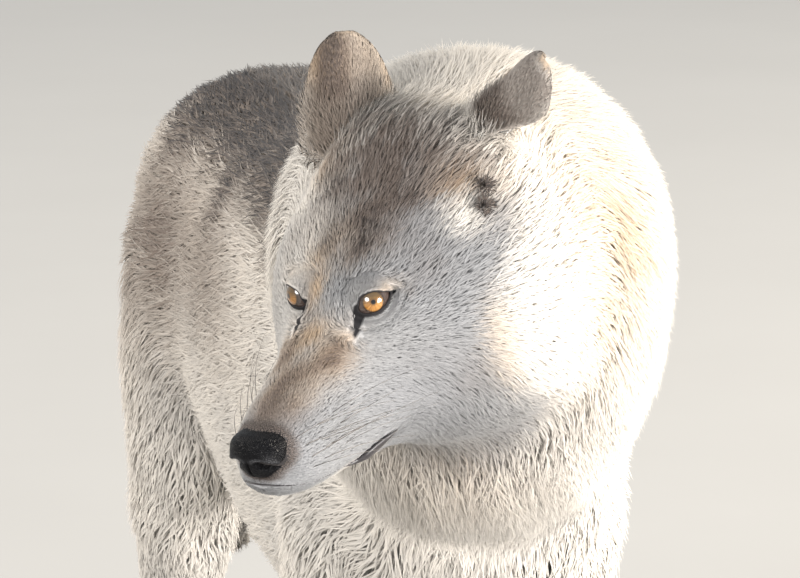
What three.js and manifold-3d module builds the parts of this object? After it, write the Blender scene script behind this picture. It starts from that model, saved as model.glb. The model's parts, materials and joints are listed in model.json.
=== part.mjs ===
// Arctic wolf, standing, life size, in its full winter coat. Millimetres, +Z up.
// The body faces -Y and its left side is +X. The head is turned to the wolf's right and lowered a little.
// Every surface is the outline of the coat at the tips of the hair; flesh parts meet along thin cuts.
import * as THREE from "three";
import { mergeVertices } from "three/addons/utils/BufferGeometryUtils.js";
import Module from "manifold-3d";

const wasm = await Module();
wasm.setup();

// ---- driving sizes ----
const withersHeight = 812; // top of the shoulders above the floor, coat included
const trunkLength = 860; // breast to rump, coat included
const chestHalfWidth = 127;
const breastY = -410; // where the trunk begins, in front of the forelegs
const cutGap = 0.35; // width of the cut between two parts

const headAt = new THREE.Vector3(-171, -604, 740); // middle between the eyes
const headTurn = THREE.MathUtils.degToRad(-48.9); // to the wolf's right
const headDrop = THREE.MathUtils.degToRad(18.9); // nose down
const headTilt = THREE.MathUtils.degToRad(-1.5);

const eyeRadius = 12.5;
const eyeSpacing = 68; // pupil to pupil
const tailRadius = 62;
const forePawX = 76;
const hindPawX = 74;

const flesh = new THREE.MeshStandardMaterial({ color: 0xe9e0d2, roughness: 0.9, metalness: 0 });
const darkFlesh = new THREE.MeshStandardMaterial({ color: 0x8d7c68, roughness: 0.9, metalness: 0 });
const leather = new THREE.MeshStandardMaterial({ color: 0x15161a, roughness: 0.45, metalness: 0 });
const amber = new THREE.MeshStandardMaterial({ color: 0xb9854a, roughness: 0.08, metalness: 0 });
const horn = new THREE.MeshStandardMaterial({ color: 0x3a3430, roughness: 0.4, metalness: 0 });

const upward = new THREE.Vector3(0, 0, 1);
const forward = new THREE.Vector3(0, -1, 0);

// ---- solids ----

// A closed geometry over rings that all have the same number of points, with a fan over each end.
function loftGeometry(rings) {
  const around = rings[0].length;
  const points = rings.flat();
  const faces = [];
  for (let r = 0; r + 1 < rings.length; r++) {
    for (let i = 0; i < around; i++) {
      const a = r * around + i;
      const b = r * around + ((i + 1) % around);
      faces.push(a, b, b + around, a, b + around, a + around);
    }
  }
  const middle = (ring) => ring.reduce((sum, p) => sum.add(p), new THREE.Vector3()).divideScalar(around);
  const last = (rings.length - 1) * around;
  points.push(middle(rings[0]), middle(rings[rings.length - 1]));
  for (let i = 0; i < around; i++) {
    const j = (i + 1) % around;
    faces.push(points.length - 2, j, i);
    faces.push(points.length - 1, last + i, last + j);
  }
  const geometry = new THREE.BufferGeometry().setFromPoints(points);
  geometry.setIndex(faces);
  return geometry;
}

// A closed geometry as a solid in the wolf's frame, whichever way its faces were wound.
function solidOf(geometry, matrix = new THREE.Matrix4()) {
  const bare = new THREE.BufferGeometry().setAttribute("position", geometry.getAttribute("position").clone());
  if (geometry.index) bare.setIndex(geometry.index.clone());
  bare.applyMatrix4(matrix);
  const merged = mergeVertices(bare, 1e-3);
  const triVerts = new Uint32Array(merged.index.array);
  const vertProperties = merged.attributes.position.array;
  const made = new wasm.Manifold(new wasm.Mesh({ numProp: 3, vertProperties, triVerts }));
  if (made.volume() > 0) return made;
  for (let i = 0; i < triVerts.length; i += 3) {
    [triVerts[i + 1], triVerts[i + 2]] = [triVerts[i + 2], triVerts[i + 1]];
  }
  return new wasm.Manifold(new wasm.Mesh({ numProp: 3, vertProperties, triVerts }));
}

// The largest body of a solid, so that a cut leaves no loose sliver.
function largest(solid) {
  return solid.decompose().reduce((best, body) => (body.volume() > best.volume() ? body : best));
}

function ball(at, radii, turn = new THREE.Euler(), around = 12, rows = 8) {
  const matrix = new THREE.Matrix4().compose(at, new THREE.Quaternion().setFromEuler(turn), radii);
  return solidOf(new THREE.SphereGeometry(1, around, rows), matrix);
}

// The mesh of a part: its solid is carried back into the frame of the group that holds it.
function part(name, solid, material, group) {
  const mesh = solid.getMesh();
  const geometry = new THREE.BufferGeometry();
  geometry.setAttribute("position", new THREE.BufferAttribute(new Float32Array(mesh.vertProperties), 3));
  geometry.setIndex(new THREE.BufferAttribute(new Uint32Array(mesh.triVerts), 1));
  group.updateMatrixWorld(true);
  geometry.applyMatrix4(group.matrixWorld.clone().invert());
  geometry.computeVertexNormals();
  const made = new THREE.Mesh(geometry, material);
  made.name = name;
  group.add(made);
  return made;
}

// ---- limbs and trunk: sections along a path ----

// One section: an egg-shaped ring, square > 2 for a boxier one.
function section(at, across, up, { side, top, bottom, square }, around, grow) {
  const ring = [];
  for (let i = 0; i < around; i++) {
    const angle = (2 * Math.PI * i) / around;
    const power = 2 / square;
    const c = Math.sign(Math.cos(angle)) * Math.abs(Math.cos(angle)) ** power;
    const s = Math.sign(Math.sin(angle)) * Math.abs(Math.sin(angle)) ** power;
    const height = s > 0 ? top + grow : bottom + grow;
    ring.push(at.clone().addScaledVector(across, c * (side + grow)).addScaledVector(up, s * height));
  }
  return ring;
}

// A solid over stations {at, side, top, bottom, square}, smooth between them. Its sections stand square to
// the path, or to the direction lengthwise if one is given.
function limb(stations, { around = 16, steps = 3, top = upward, grow = 0, lengthwise = null } = {}) {
  const path = new THREE.CatmullRomCurve3(stations.map((s) => s.at));
  const sizes = new THREE.CatmullRomCurve3(stations.map((s) => new THREE.Vector3(s.side, s.top, s.bottom)));
  const spans = stations.length - 1;
  const rings = [];
  for (let i = 0; i <= spans * steps; i++) {
    const t = i / (spans * steps);
    const span = Math.min(spans - 1, Math.floor(t * spans));
    const share = t * spans - span;
    const square = THREE.MathUtils.lerp(stations[span].square ?? 2, stations[span + 1].square ?? 2, share);
    const step = path.getPoint(Math.min(1, t + 0.01)).sub(path.getPoint(Math.max(0, t - 0.01)));
    const tangent = lengthwise ?? step.normalize();
    const across = new THREE.Vector3().crossVectors(tangent, top).normalize();
    const up = new THREE.Vector3().crossVectors(across, tangent).normalize();
    const size = sizes.getPoint(t);
    const shape = { side: size.x, top: size.y, bottom: size.z, square };
    rings.push(section(path.getPoint(t), across, up, shape, around, grow));
  }
  if (grow) {
    const [first, last] = [rings[0], rings[rings.length - 1]];
    const start = path.getPoint(0).sub(path.getPoint(0.01)).normalize();
    const end = path.getPoint(1).sub(path.getPoint(0.99)).normalize();
    first.forEach((p) => p.addScaledVector(start, grow));
    last.forEach((p) => p.addScaledVector(end, grow));
  }
  return solidOf(loftGeometry(rings));
}

const at = (x, y, z) => new THREE.Vector3(x, y, z);

// Trunk sections: along is the share of the trunk's length from the breast, back and belly are shares of the
// withers height, wide is a share of the chest's half width.
const trunkSections = [
  { along: 0.0, back: 0.76, belly: 0.592, wide: 0.54, square: 2.0 },
  { along: 0.035, back: 0.85, belly: 0.535, wide: 0.79, square: 2.1 },
  { along: 0.1, back: 0.948, belly: 0.482, wide: 0.93, square: 2.2 },
  { along: 0.2, back: 1.0, belly: 0.452, wide: 0.99, square: 2.25 },
  { along: 0.32, back: 0.98, belly: 0.437, wide: 1.02, square: 2.3 },
  { along: 0.46, back: 0.943, belly: 0.447, wide: 1.03, square: 2.3 },
  { along: 0.6, back: 0.924, belly: 0.48, wide: 0.99, square: 2.3 },
  { along: 0.72, back: 0.92, belly: 0.524, wide: 0.95, square: 2.3 },
  { along: 0.83, back: 0.915, belly: 0.559, wide: 0.96, square: 2.2 },
  { along: 0.91, back: 0.889, belly: 0.59, wide: 0.88, square: 2.1 },
  { along: 0.97, back: 0.841, belly: 0.638, wide: 0.66, square: 2.0 },
  { along: 1.0, back: 0.803, belly: 0.686, wide: 0.38, square: 2.0 },
];
const trunkWaist = 0.56; // the widest level, as a share of the section's height above the belly

function trunkShape(grow) {
  const stations = trunkSections.map(({ along, back, belly, wide, square }) => {
    const height = (back - belly) * withersHeight;
    const waist = belly * withersHeight + trunkWaist * height;
    return {
      at: at(0, breastY + along * trunkLength, waist),
      side: wide * chestHalfWidth,
      top: (1 - trunkWaist) * height,
      bottom: trunkWaist * height,
      square,
    };
  });
  return limb(stations, { around: 18, steps: 2, grow, lengthwise: at(0, 1, 0) });
}

// Neck and mane, from inside the shoulders to inside the back of the head, bending to the wolf's right.
const neckStations = [
  { at: at(0, -215, 630), side: 92, top: 112, bottom: 140 },
  { at: at(-3, -300, 662), side: 124, top: 140, bottom: 178, square: 2.1 },
  { at: at(-16, -385, 700), side: 143, top: 158, bottom: 188, square: 2.1 },
  { at: at(-38, -450, 734), side: 145, top: 153, bottom: 176 },
  { at: at(-64, -499, 757), side: 130, top: 122, bottom: 156 },
  { at: at(-87, -534, 766), side: 107, top: 92, bottom: 112 },
  { at: at(-106, -560, 768), side: 72, top: 62, bottom: 72 },
];
const neckShape = (grow) => limb(neckStations, { around: 18, steps: 2, grow });

const tailStations = [
  { at: at(0, 392, 668), side: 0.55, top: 0.5, bottom: 0.5 },
  { at: at(0, 440, 652), side: 0.66, top: 0.6, bottom: 0.6 },
  { at: at(0, 482, 604), side: 0.82, top: 0.78, bottom: 0.8 },
  { at: at(0, 503, 530), side: 0.97, top: 0.96, bottom: 1.0 },
  { at: at(0, 508, 448), side: 1.0, top: 1.0, bottom: 1.05 },
  { at: at(0, 500, 366), side: 0.84, top: 0.84, bottom: 0.9 },
  { at: at(0, 490, 306), side: 0.5, top: 0.5, bottom: 0.54 },
  { at: at(0, 485, 272), side: 0.14, top: 0.14, bottom: 0.14 },
].map((s) => {
  const [side, top, bottom] = [s.side, s.top, s.bottom].map((share) => share * tailRadius);
  return { at: s.at, side, top, bottom };
});

// Legs of the left side, from inside the trunk to inside the paw; top is the front of the leg.
const foreLegStations = [
  { at: at(44, -282, 672), side: 48, top: 72, bottom: 82 },
  { at: at(66, -276, 590), side: 57, top: 94, bottom: 100 },
  { at: at(75, -262, 505), side: 52, top: 84, bottom: 86 },
  { at: at(79, -244, 420), side: 46, top: 56, bottom: 63 },
  { at: at(79, -246, 335), side: 38, top: 42, bottom: 45 },
  { at: at(78, -254, 250), side: 32, top: 35, bottom: 37 },
  { at: at(77, -260, 180), side: 30, top: 33, bottom: 34 },
  { at: at(76, -262, 112), side: 29, top: 31, bottom: 32 },
  { at: at(forePawX, -266, 62), side: 33, top: 34, bottom: 33 },
  { at: at(forePawX, -270, 24), side: 30, top: 30, bottom: 30 },
];
const hindLegStations = [
  { at: at(40, 270, 660), side: 48, top: 84, bottom: 84 },
  { at: at(74, 288, 585), side: 60, top: 118, bottom: 104 },
  { at: at(82, 290, 500), side: 58, top: 116, bottom: 100 },
  { at: at(85, 284, 415), side: 50, top: 84, bottom: 82 },
  { at: at(82, 310, 335), side: 40, top: 55, bottom: 57 },
  { at: at(78, 358, 262), side: 31, top: 39, bottom: 41 },
  { at: at(76, 386, 198), side: 27, top: 32, bottom: 38 },
  { at: at(75, 376, 130), side: 26, top: 30, bottom: 31 },
  { at: at(hindPawX, 362, 66), side: 30, top: 32, bottom: 31 },
  { at: at(hindPawX, 356, 24), side: 28, top: 28, bottom: 28 },
];
const elbowCut = { at: at(0, -244, 390), towards: at(0, 0.2, -1).normalize() };
const stifleCut = { at: at(0, 292, 372), towards: at(0, 0.45, -1).normalize() };
const pasternCut = 74; // height at which a leg gives way to its paw

// A left-hand list of stations, mirrored for the right side.
function onSide(stations, side) {
  return stations.map((s) => ({ ...s, at: at(s.at.x * side, s.at.y, s.at.z) }));
}

// ---- paws ----

const toeSplay = THREE.MathUtils.degToRad(7);
const toes = [
  { out: -1.46, ahead: 20, reach: 27, turn: -1.6 },
  { out: -0.5, ahead: 37, reach: 29, turn: -0.5 },
  { out: 0.5, ahead: 37, reach: 29, turn: 0.5 },
  { out: 1.46, ahead: 20, reach: 27, turn: 1.6 },
];
const toeSpacing = 20;
const toeHalfWidth = 13;
const toeHeight = 20;

function toePlace(toe, heel, scale) {
  const turn = new THREE.Euler(0, 0, toe.turn * toeSplay);
  const middle = at(heel.x + toe.out * toeSpacing * scale, heel.y - (toe.ahead + 6) * scale, toeHeight * 0.8);
  return { turn, middle };
}

// The paw: a lofted foot that comes down from the pastern and runs forward, four toes, a flat underside.
function pawShape(heel, scale, grow = 0) {
  const foot = [
    { at: at(0, 4, 88), side: 31, top: 34, bottom: 33 },
    { at: at(0, -2, 56), side: 35, top: 36, bottom: 36 },
    { at: at(0, -14, 34), side: 40, top: 36, bottom: 40 },
    { at: at(0, -34, 20), side: 37, top: 22, bottom: 31 },
    { at: at(0, -52, 14), side: 26, top: 12, bottom: 18 },
  ];
  const stations = foot.map((s) => ({
    at: at(heel.x + s.at.x, heel.y + s.at.y * scale, s.at.z),
    side: s.side * scale,
    top: s.top * scale,
    bottom: s.bottom * scale,
  }));
  let paw = limb(stations, { around: 10, steps: 1, top: at(0, -0.4, 1).normalize(), grow });
  for (const toe of toes) {
    const { turn, middle } = toePlace(toe, heel, scale);
    const radii = at(toeHalfWidth * scale + grow, toe.reach * scale + grow, toeHeight + grow);
    paw = paw.add(ball(middle, radii, turn, 6, 5));
  }
  return paw.trimByPlane([0, 0, 1], 0);
}

// A curved claw: a short horn that leaves the toe's front and bends to the floor.
function clawShape(toe, heel, scale) {
  const { turn, middle } = toePlace(toe, heel, scale);
  const ahead = forward.clone().applyEuler(turn);
  const root = middle.clone().addScaledVector(ahead, (toe.reach - 8) * scale).add(at(0, 0, 1));
  const bend = root.clone().addScaledVector(ahead, 12).add(at(0, 0, -2));
  const tip = root.clone().addScaledVector(ahead, 18).add(at(0, 0, -10));
  const stations = [
    { at: root, side: 3.6, top: 4.6, bottom: 4.6 },
    { at: bend, side: 3, top: 4, bottom: 4 },
    { at: tip, side: 1, top: 1.2, bottom: 1.2 },
  ];
  return limb(stations, { around: 5, steps: 1 });
}

// ---- head: local x is the wolf's left, -y is forward, z is up; the origin lies between the eyes ----

// Sections from the nape to the nose: ahead of the eyes, level of the section's centre, then its reach at the
// top, half way to the side, at the side, half way to the bottom and at the bottom.
const headSections = [
  { ahead: -182, level: -14, reach: [62, 62, 62, 66, 64] },
  { ahead: -160, level: -18, reach: [95, 96, 97, 102, 98] },
  { ahead: -132, level: -22, reach: [101, 104, 112, 127, 132] },
  { ahead: -102, level: -26, reach: [95, 100, 111, 130, 138] },
  { ahead: -74, level: -29, reach: [85, 91, 103, 121, 129] },
  { ahead: -48, level: -32, reach: [74, 80, 90, 104, 110] },
  { ahead: -26, level: -35, reach: [64, 67, 74, 84, 91] },
  { ahead: -6, level: -39, reach: [53, 54, 56, 69, 79] },
  { ahead: 12, level: -45, reach: [44, 43, 45, 60, 68] },
  { ahead: 30, level: -52, reach: [38, 37, 40, 52, 57] },
  { ahead: 50, level: -58, reach: [34, 35, 37, 45, 46] },
  { ahead: 74, level: -63, reach: [31, 33, 34, 38, 36] },
  { ahead: 95, level: -66, reach: [27, 28, 29, 31, 29] },
  { ahead: 108, level: -67, reach: [20, 20, 22, 23, 22] },
  { ahead: 115, level: -68, reach: [10, 10, 12, 12, 12] },
];
const coarseSections = 6; // sections behind the eyes, which need no ring between them

// Rises and hollows of the face, mirrored: push is along the outward direction of the section.
const faceForms = [
  { ahead: -8, out: 30, level: 18, spread: 15, push: 5 }, // brow
  { ahead: 13, out: 22, level: -10, spread: 12, push: -5 }, // inner corner of the eye
  { ahead: -16, out: 50, level: -34, spread: 24, push: 5 }, // cheekbone
  { ahead: 26, out: 30, level: -46, spread: 16, push: -3 }, // hollow under the eye
  { ahead: 84, out: 26, level: -76, spread: 18, push: 3 }, // lip over the canine tooth
  { ahead: -64, out: 70, level: 26, spread: 22, push: -5 }, // temple
  { ahead: -14, out: 0, level: 28, spread: 16, push: -4 }, // furrow of the forehead
  { ahead: -112, out: 92, level: -86, spread: 44, push: 12 }, // cheek ruff
];

// Smooth reach at an angle from the top, 0 to PI, through the five named reaches.
function reachAt(reach, angle) {
  const place = (angle / Math.PI) * (reach.length - 1);
  const i = Math.min(reach.length - 2, Math.floor(place));
  const t = place - i;
  const [before, after] = [reach[Math.max(0, i - 1)], reach[Math.min(reach.length - 1, i + 2)]];
  const [a, b] = [reach[i], reach[i + 1]];
  const [slopeA, slopeB] = [i === 0 ? 0 : (b - before) / 2, i === reach.length - 2 ? 0 : (after - a) / 2];
  const t2 = t * t;
  const t3 = t2 * t;
  return (2 * t3 - 3 * t2 + 1) * a + (t3 - 2 * t2 + t) * slopeA + (3 * t2 - 2 * t3) * b + (t3 - t2) * slopeB;
}

function shapedFace(point, outward) {
  let push = 0;
  for (const form of faceForms) {
    for (const side of form.out ? [-1, 1] : [1]) {
      const distance = point.distanceTo(at(side * form.out, -form.ahead, form.level));
      push += form.push * Math.exp(-((distance / form.spread) ** 2));
    }
  }
  return point.addScaledVector(outward, push);
}

function headGeometry(around = 24) {
  const rings = [];
  const spans = headSections.length - 1;
  const places = headSections.flatMap((_, i) => (i < coarseSections || i === spans ? [i] : [i, i + 0.5]));
  const lengthwise = new THREE.CatmullRomCurve3(headSections.map((s) => at(s.ahead, s.level, 0)));
  const reaches = [0, 1, 2, 3, 4].map(
    (k) => new THREE.CatmullRomCurve3(headSections.map((s) => at(s.reach[k], 0, 0))),
  );
  for (const place of places) {
    const t = place / spans;
    const { x: ahead, y: level } = lengthwise.getPoint(t);
    const reach = reaches.map((curve) => curve.getPoint(t).x);
    const ring = [];
    for (let j = 0; j < around; j++) {
      const angle = (2 * Math.PI * j) / around;
      const outward = at(Math.sin(angle), 0, Math.cos(angle));
      const far = reachAt(reach, angle <= Math.PI ? angle : 2 * Math.PI - angle);
      const point = at(0, -ahead, level).addScaledVector(outward, far);
      ring.push(shapedFace(point, outward));
    }
    rings.push(ring);
  }
  return loftGeometry(rings);
}

// Lower jaw: what lies under the line of the mouth, ahead of its corner.
const mouth = { corner: 10, level: -94, rise: THREE.MathUtils.degToRad(-6) };

function jawRegion(grow) {
  const [long, wide, deep] = [160, 160, 90];
  const box = new THREE.BoxGeometry(wide, long + 2 * grow, deep + 2 * grow);
  box.translate(0, -long / 2, -deep / 2);
  const matrix = new THREE.Matrix4().makeRotationX(mouth.rise).setPosition(0, -mouth.corner, mouth.level);
  return solidOf(box, headGroup.matrixWorld.clone().multiply(matrix));
}

// Nose leather: a rounded block with a flat top, two nostrils and a groove under them.
const nose = { ahead: 102, level: -54.5, halfWidth: 20.5, halfHeight: 15, halfLength: 16 };

function noseShape(grow) {
  const rings = [];
  const rows = 7;
  for (let i = 0; i < rows; i++) {
    const t = -1 + (2 * i) / (rows - 1);
    const round = Math.max(0.3, (1 - Math.abs(t) ** 3.2) ** (1 / 2.6));
    const ahead = nose.ahead + t * (nose.halfLength + grow);
    const middle = at(0, -ahead, nose.level + 2.5 * t);
    const shape = {
      side: nose.halfWidth * round + grow,
      top: nose.halfHeight * 0.95 * round + grow,
      bottom: nose.halfHeight * (1.08 - 0.22 * t) * round + grow,
      square: 2.7,
    };
    rings.push(section(middle, at(1, 0, 0), upward, shape, 12, 0));
  }
  return solidOf(loftGeometry(rings), headGroup.matrixWorld);
}

function nostril(side) {
  const middle = at(side * 9.5, -(nose.ahead + nose.halfLength - 1), nose.level - 3);
  const hole = new THREE.SphereGeometry(1, 7, 5).scale(4.4, 8, 3.6).rotateZ(side * 0.5);
  const slit = new THREE.SphereGeometry(1, 6, 5).scale(2.2, 10, 2.6).rotateZ(side * 1.05);
  hole.translate(middle.x, middle.y, middle.z);
  slit.translate(middle.x + side * 6.5, middle.y + 6, middle.z - 3);
  return solidOf(hole, headGroup.matrixWorld).add(solidOf(slit, headGroup.matrixWorld));
}

// Eyeball: its front lies a little under the face, and it looks ahead, out and a little up.
const eyeLooks = at(0.56, -0.76, 0.18).normalize();
const eyeFront = { ahead: 0, level: -1 };

function eyeMiddle(side) {
  const front = at((side * eyeSpacing) / 2, -eyeFront.ahead, eyeFront.level);
  return front.addScaledVector(at(eyeLooks.x * side, eyeLooks.y, eyeLooks.z), -eyeRadius);
}

function eyeShape(side, grow) {
  const sphere = new THREE.SphereGeometry(eyeRadius + grow, 12, 8).translate(...eyeMiddle(side).toArray());
  return solidOf(sphere, headGroup.matrixWorld);
}

// The opening between the lids, a slanted almond through which the eyeball shows.
function lidOpening(side) {
  const looks = at(eyeLooks.x * side, eyeLooks.y, eyeLooks.z);
  const almond = new THREE.Shape();
  const [half, high] = [13, 7];
  almond.moveTo(-half, -2);
  almond.quadraticCurveTo(-2, high * 1.5, half, 2.5);
  almond.quadraticCurveTo(4, -high * 1.4, -half, -2);
  const cutter = new THREE.ExtrudeGeometry(almond, { depth: 30, bevelEnabled: false, curveSegments: 5 });
  if (side < 0) cutter.scale(-1, 1, 1);
  const across = new THREE.Vector3().crossVectors(upward, looks).normalize();
  const up = new THREE.Vector3().crossVectors(looks, across);
  const matrix = new THREE.Matrix4().makeBasis(across, up, looks).setPosition(eyeMiddle(side));
  return solidOf(cutter, headGroup.matrixWorld.clone().multiply(matrix));
}

// Ear: a cupped leaf. It stands from root towards tip, opens towards opens, and its edges curl that way.
const ears = {
  left: { root: at(52, 134, 52), tip: at(112, 136, 116), opens: at(0.42, 0.82, -0.4) },
  right: { root: at(-56, 128, 54), tip: at(-56, 146, 119), opens: at(-0.5, 0.85, 0.12) },
};
const ear = { halfWidth: 31, cup: 15, thick: 8, buried: 0.25 };

function earShape({ root, tip, opens }, around = 12, rows = 9) {
  const axis = tip.clone().sub(root);
  const long = axis.length();
  axis.normalize();
  const across = new THREE.Vector3().crossVectors(opens, axis).normalize();
  const facing = new THREE.Vector3().crossVectors(axis, across).normalize();
  const rings = [];
  for (let i = 0; i <= rows; i++) {
    const t = -ear.buried + ((1 + ear.buried) * i) / rows;
    const rise = Math.max(0, t);
    const half = ear.halfWidth * Math.max(0.1, (1 - rise ** 2.6) ** 0.6);
    const thick = ear.thick * (1 - 0.5 * rise) * Math.min(1, half / 8);
    const middle = root.clone().addScaledVector(axis, t * long);
    const ring = [];
    for (let j = 0; j < around; j++) {
      const angle = (2 * Math.PI * j) / around;
      const v = Math.cos(angle);
      const cup = (ear.cup * (half / ear.halfWidth)) * (v * v - 0.35);
      const depth = cup + (thick / 2) * Math.sin(angle);
      ring.push(middle.clone().addScaledVector(across, v * half).addScaledVector(facing, depth));
    }
    rings.push(ring);
  }
  return solidOf(loftGeometry(rings), headGroup.matrixWorld);
}

// ---- the wolf ----

const wolf = new THREE.Group();
const headGroup = new THREE.Group();
headGroup.position.copy(headAt);
headGroup.rotation.set(headDrop, headTilt, headTurn, "ZXY");
wolf.add(headGroup);
wolf.updateMatrixWorld(true);

const sides = { left: 1, right: -1 };

// Trunk, neck and tail.
const trunkGrown = trunkShape(cutGap);
const headSolid = solidOf(headGeometry(), headGroup.matrixWorld);
const headGrown = solidOf(headGeometry(), headGroup.matrixWorld.clone().scale(at(1.004, 1.004, 1.004)));
part("trunk", trunkShape(0), flesh, wolf);
part("neck", largest(neckShape(0).subtract(trunkGrown).subtract(headGrown)), flesh, wolf);
const tailSolid = limb(tailStations, { around: 12, steps: 1, top: forward }).subtract(trunkGrown);
part("tail", largest(tailSolid), flesh, wolf);

// Head with its jaw, nose, eyes and ears.
const noseCut = noseShape(cutGap);
const nosePiece = noseShape(0).subtract(nostril(1)).subtract(nostril(-1));
let skull = headSolid.subtract(noseCut);
for (const side of [1, -1]) {
  skull = skull.subtract(eyeShape(side, cutGap)).subtract(lidOpening(side));
}
part("lower_jaw", largest(skull.intersect(jawRegion(0))), flesh, headGroup);
part("head", largest(skull.subtract(jawRegion(cutGap))), flesh, headGroup);
part("nose", largest(nosePiece), leather, headGroup);
const neckGrown = neckShape(cutGap);
for (const [name, side] of Object.entries(sides)) {
  part("eye_" + name, eyeShape(side, 0), amber, headGroup);
  const leaf = earShape(ears[name]).subtract(headGrown).subtract(neckGrown);
  part("ear_" + name, largest(leaf), darkFlesh, headGroup);
}

// Legs, paws and claws. A leg gives way to the trunk and the neck, and is cut at its joint.
function makeLeg(names, stations, cut, heel, scale, side, sideName) {
  const whole = limb(onSide(stations, side), { around: 14, steps: 1, top: forward });
  const free = largest(whole.subtract(trunkGrown).subtract(neckGrown).trimByPlane([0, 0, 1], pasternCut));
  const low = cut.towards;
  const place = cut.at.dot(low);
  const upper = free.trimByPlane(low.clone().negate().toArray(), -place);
  const lower = free.trimByPlane(low.toArray(), place + cutGap);
  part(names.upper + sideName, largest(upper), flesh, wolf);
  part(names.lower + sideName, largest(lower), flesh, wolf);
  const foot = at(heel.x * side, heel.y, 0);
  const paw = pawShape(foot, scale).trimByPlane([0, 0, -1], -(pasternCut - cutGap));
  const pawGrown = pawShape(foot, scale, cutGap);
  part(names.paw + sideName, largest(paw), flesh, wolf);
  toes.forEach((toe, i) => {
    const claw = largest(clawShape(toe, foot, scale).subtract(pawGrown));
    part("claw_" + names.paw + sideName + "_" + (i + 1), claw, horn, wolf);
  });
}

for (const [name, side] of Object.entries(sides)) {
  const fore = { upper: "shoulder_", lower: "forearm_", paw: "forepaw_" };
  const hind = { upper: "thigh_", lower: "shank_", paw: "hindpaw_" };
  makeLeg(fore, foreLegStations, elbowCut, at(forePawX, -270, 0), 1, side, name);
  makeLeg(hind, hindLegStations, stifleCut, at(hindPawX, 356, 0), 0.92, side, name);
}

// The origin is on the floor, under the middle of the box round the wolf.
const box = new THREE.Box3().setFromObject(wolf, true);
const middle = box.getCenter(new THREE.Vector3());
wolf.position.set(-middle.x, -middle.y, -box.min.z);
wolf.updateMatrixWorld(true);

export default wolf;
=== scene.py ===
import json
import math

import bmesh
import bpy
import numpy as np
from mathutils import Matrix, Vector
from mathutils.bvhtree import BVHTree
from mathutils.kdtree import KDTree

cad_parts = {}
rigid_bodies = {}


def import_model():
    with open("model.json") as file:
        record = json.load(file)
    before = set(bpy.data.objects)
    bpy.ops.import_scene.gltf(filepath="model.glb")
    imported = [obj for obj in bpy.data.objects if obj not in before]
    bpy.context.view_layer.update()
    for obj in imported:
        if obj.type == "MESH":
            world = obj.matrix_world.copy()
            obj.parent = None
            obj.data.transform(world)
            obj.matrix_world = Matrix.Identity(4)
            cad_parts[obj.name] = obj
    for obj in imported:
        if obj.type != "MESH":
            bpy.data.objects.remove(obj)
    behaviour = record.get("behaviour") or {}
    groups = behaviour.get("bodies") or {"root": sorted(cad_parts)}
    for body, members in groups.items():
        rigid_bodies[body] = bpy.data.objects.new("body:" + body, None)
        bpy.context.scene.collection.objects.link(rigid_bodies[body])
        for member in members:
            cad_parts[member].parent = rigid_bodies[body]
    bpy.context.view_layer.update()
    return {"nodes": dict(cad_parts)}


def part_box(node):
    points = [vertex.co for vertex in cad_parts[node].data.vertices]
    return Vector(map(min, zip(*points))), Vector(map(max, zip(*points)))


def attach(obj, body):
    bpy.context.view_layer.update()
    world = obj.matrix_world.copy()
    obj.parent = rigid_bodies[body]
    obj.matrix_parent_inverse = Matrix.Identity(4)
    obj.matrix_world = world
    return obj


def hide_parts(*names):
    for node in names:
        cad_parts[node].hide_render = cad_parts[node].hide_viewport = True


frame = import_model()
cadNodes = frame["nodes"]
chance = np.random.default_rng(20)

# ---- the wolf's own frame: millimetres, facing -y, its left side +x, the floor at z = 0 ----

breastY = -410  # front of the trunk
trunkLow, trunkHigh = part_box("trunk")
wolfOrigin = np.array([(trunkLow.x + trunkHigh.x) / 2, trunkLow.y - breastY / 1000, 0.0])


def toWolf(points):
    return (np.asarray(points, float) - wolfOrigin) * 1000


def toRow(points):
    return np.asarray(points, float) / 1000 + wolfOrigin


# The head's frame lies between the eyes: x to the wolf's left, y to the back, z up.
headPose = {"turn": -48.9, "drop": 18.9, "tilt": -1.5}
eyeBall = {"radius": 12.5, "apart": 68, "level": -1, "looks": (0.56, -0.76, 0.18), "bulge": 0.9, "rows": 40,
           "around": 64}
gazes = {"left": (0.64, -0.70, 0.29), "right": (-0.42, -0.89, 0.17)}  # where each pupil points


def turned(angle, axis):
    return np.array(Matrix.Rotation(math.radians(angle), 3, axis))


headTurn = turned(headPose["turn"], "Z") @ turned(headPose["drop"], "X") @ turned(headPose["tilt"], "Y")
eyeLooks = np.array(eyeBall["looks"]) / np.linalg.norm(eyeBall["looks"])
eyeMiddles = {s: toWolf(sum(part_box("eye_" + s), Vector()) / 2) for s in ("left", "right")}
eyeBack = np.array([0, -eyeLooks[1], -eyeLooks[2]]) * eyeBall["radius"] + [0, 0, eyeBall["level"]]
headOrigin = (eyeMiddles["left"] + eyeMiddles["right"]) / 2 - headTurn @ eyeBack


def toHead(points):
    return (np.asarray(points, float) - headOrigin) @ headTurn


def fromHead(points):
    return np.asarray(points, float) @ headTurn.T + headOrigin


def unit(vectors):
    return vectors / np.maximum(np.linalg.norm(vectors, axis=-1, keepdims=True), 1e-9)


def across(a, b):
    return unit(np.cross(a, b))


def ramp(values, low, high):
    t = np.clip((np.asarray(values, float) - low) / (high - low), 0, 1)
    return t * t * (3 - 2 * t)


# Smooth noise in -1..1 from a few crossed waves; size is the length of the waves.
def ripple(points, size, seed):
    own = np.random.default_rng(seed)
    total = np.zeros(len(points))
    for _ in range(5):
        way = own.normal(size=3)
        way *= own.uniform(0.7, 1.5) / np.linalg.norm(way)
        total += np.sin(points @ way * (2 * np.pi / size) + own.uniform(0, 6.28))
    return total / 2.6


# ---- camera ----

view = {
    "azimuth": 14,
    "elevation": 12,
    "distance": 3.5,
    "pixelsPerMillimetre": 1.527,
    "eyesAt": (329.3, 297.9),
    "picture": (800, 578),
    "sensor": 36,
}


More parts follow.
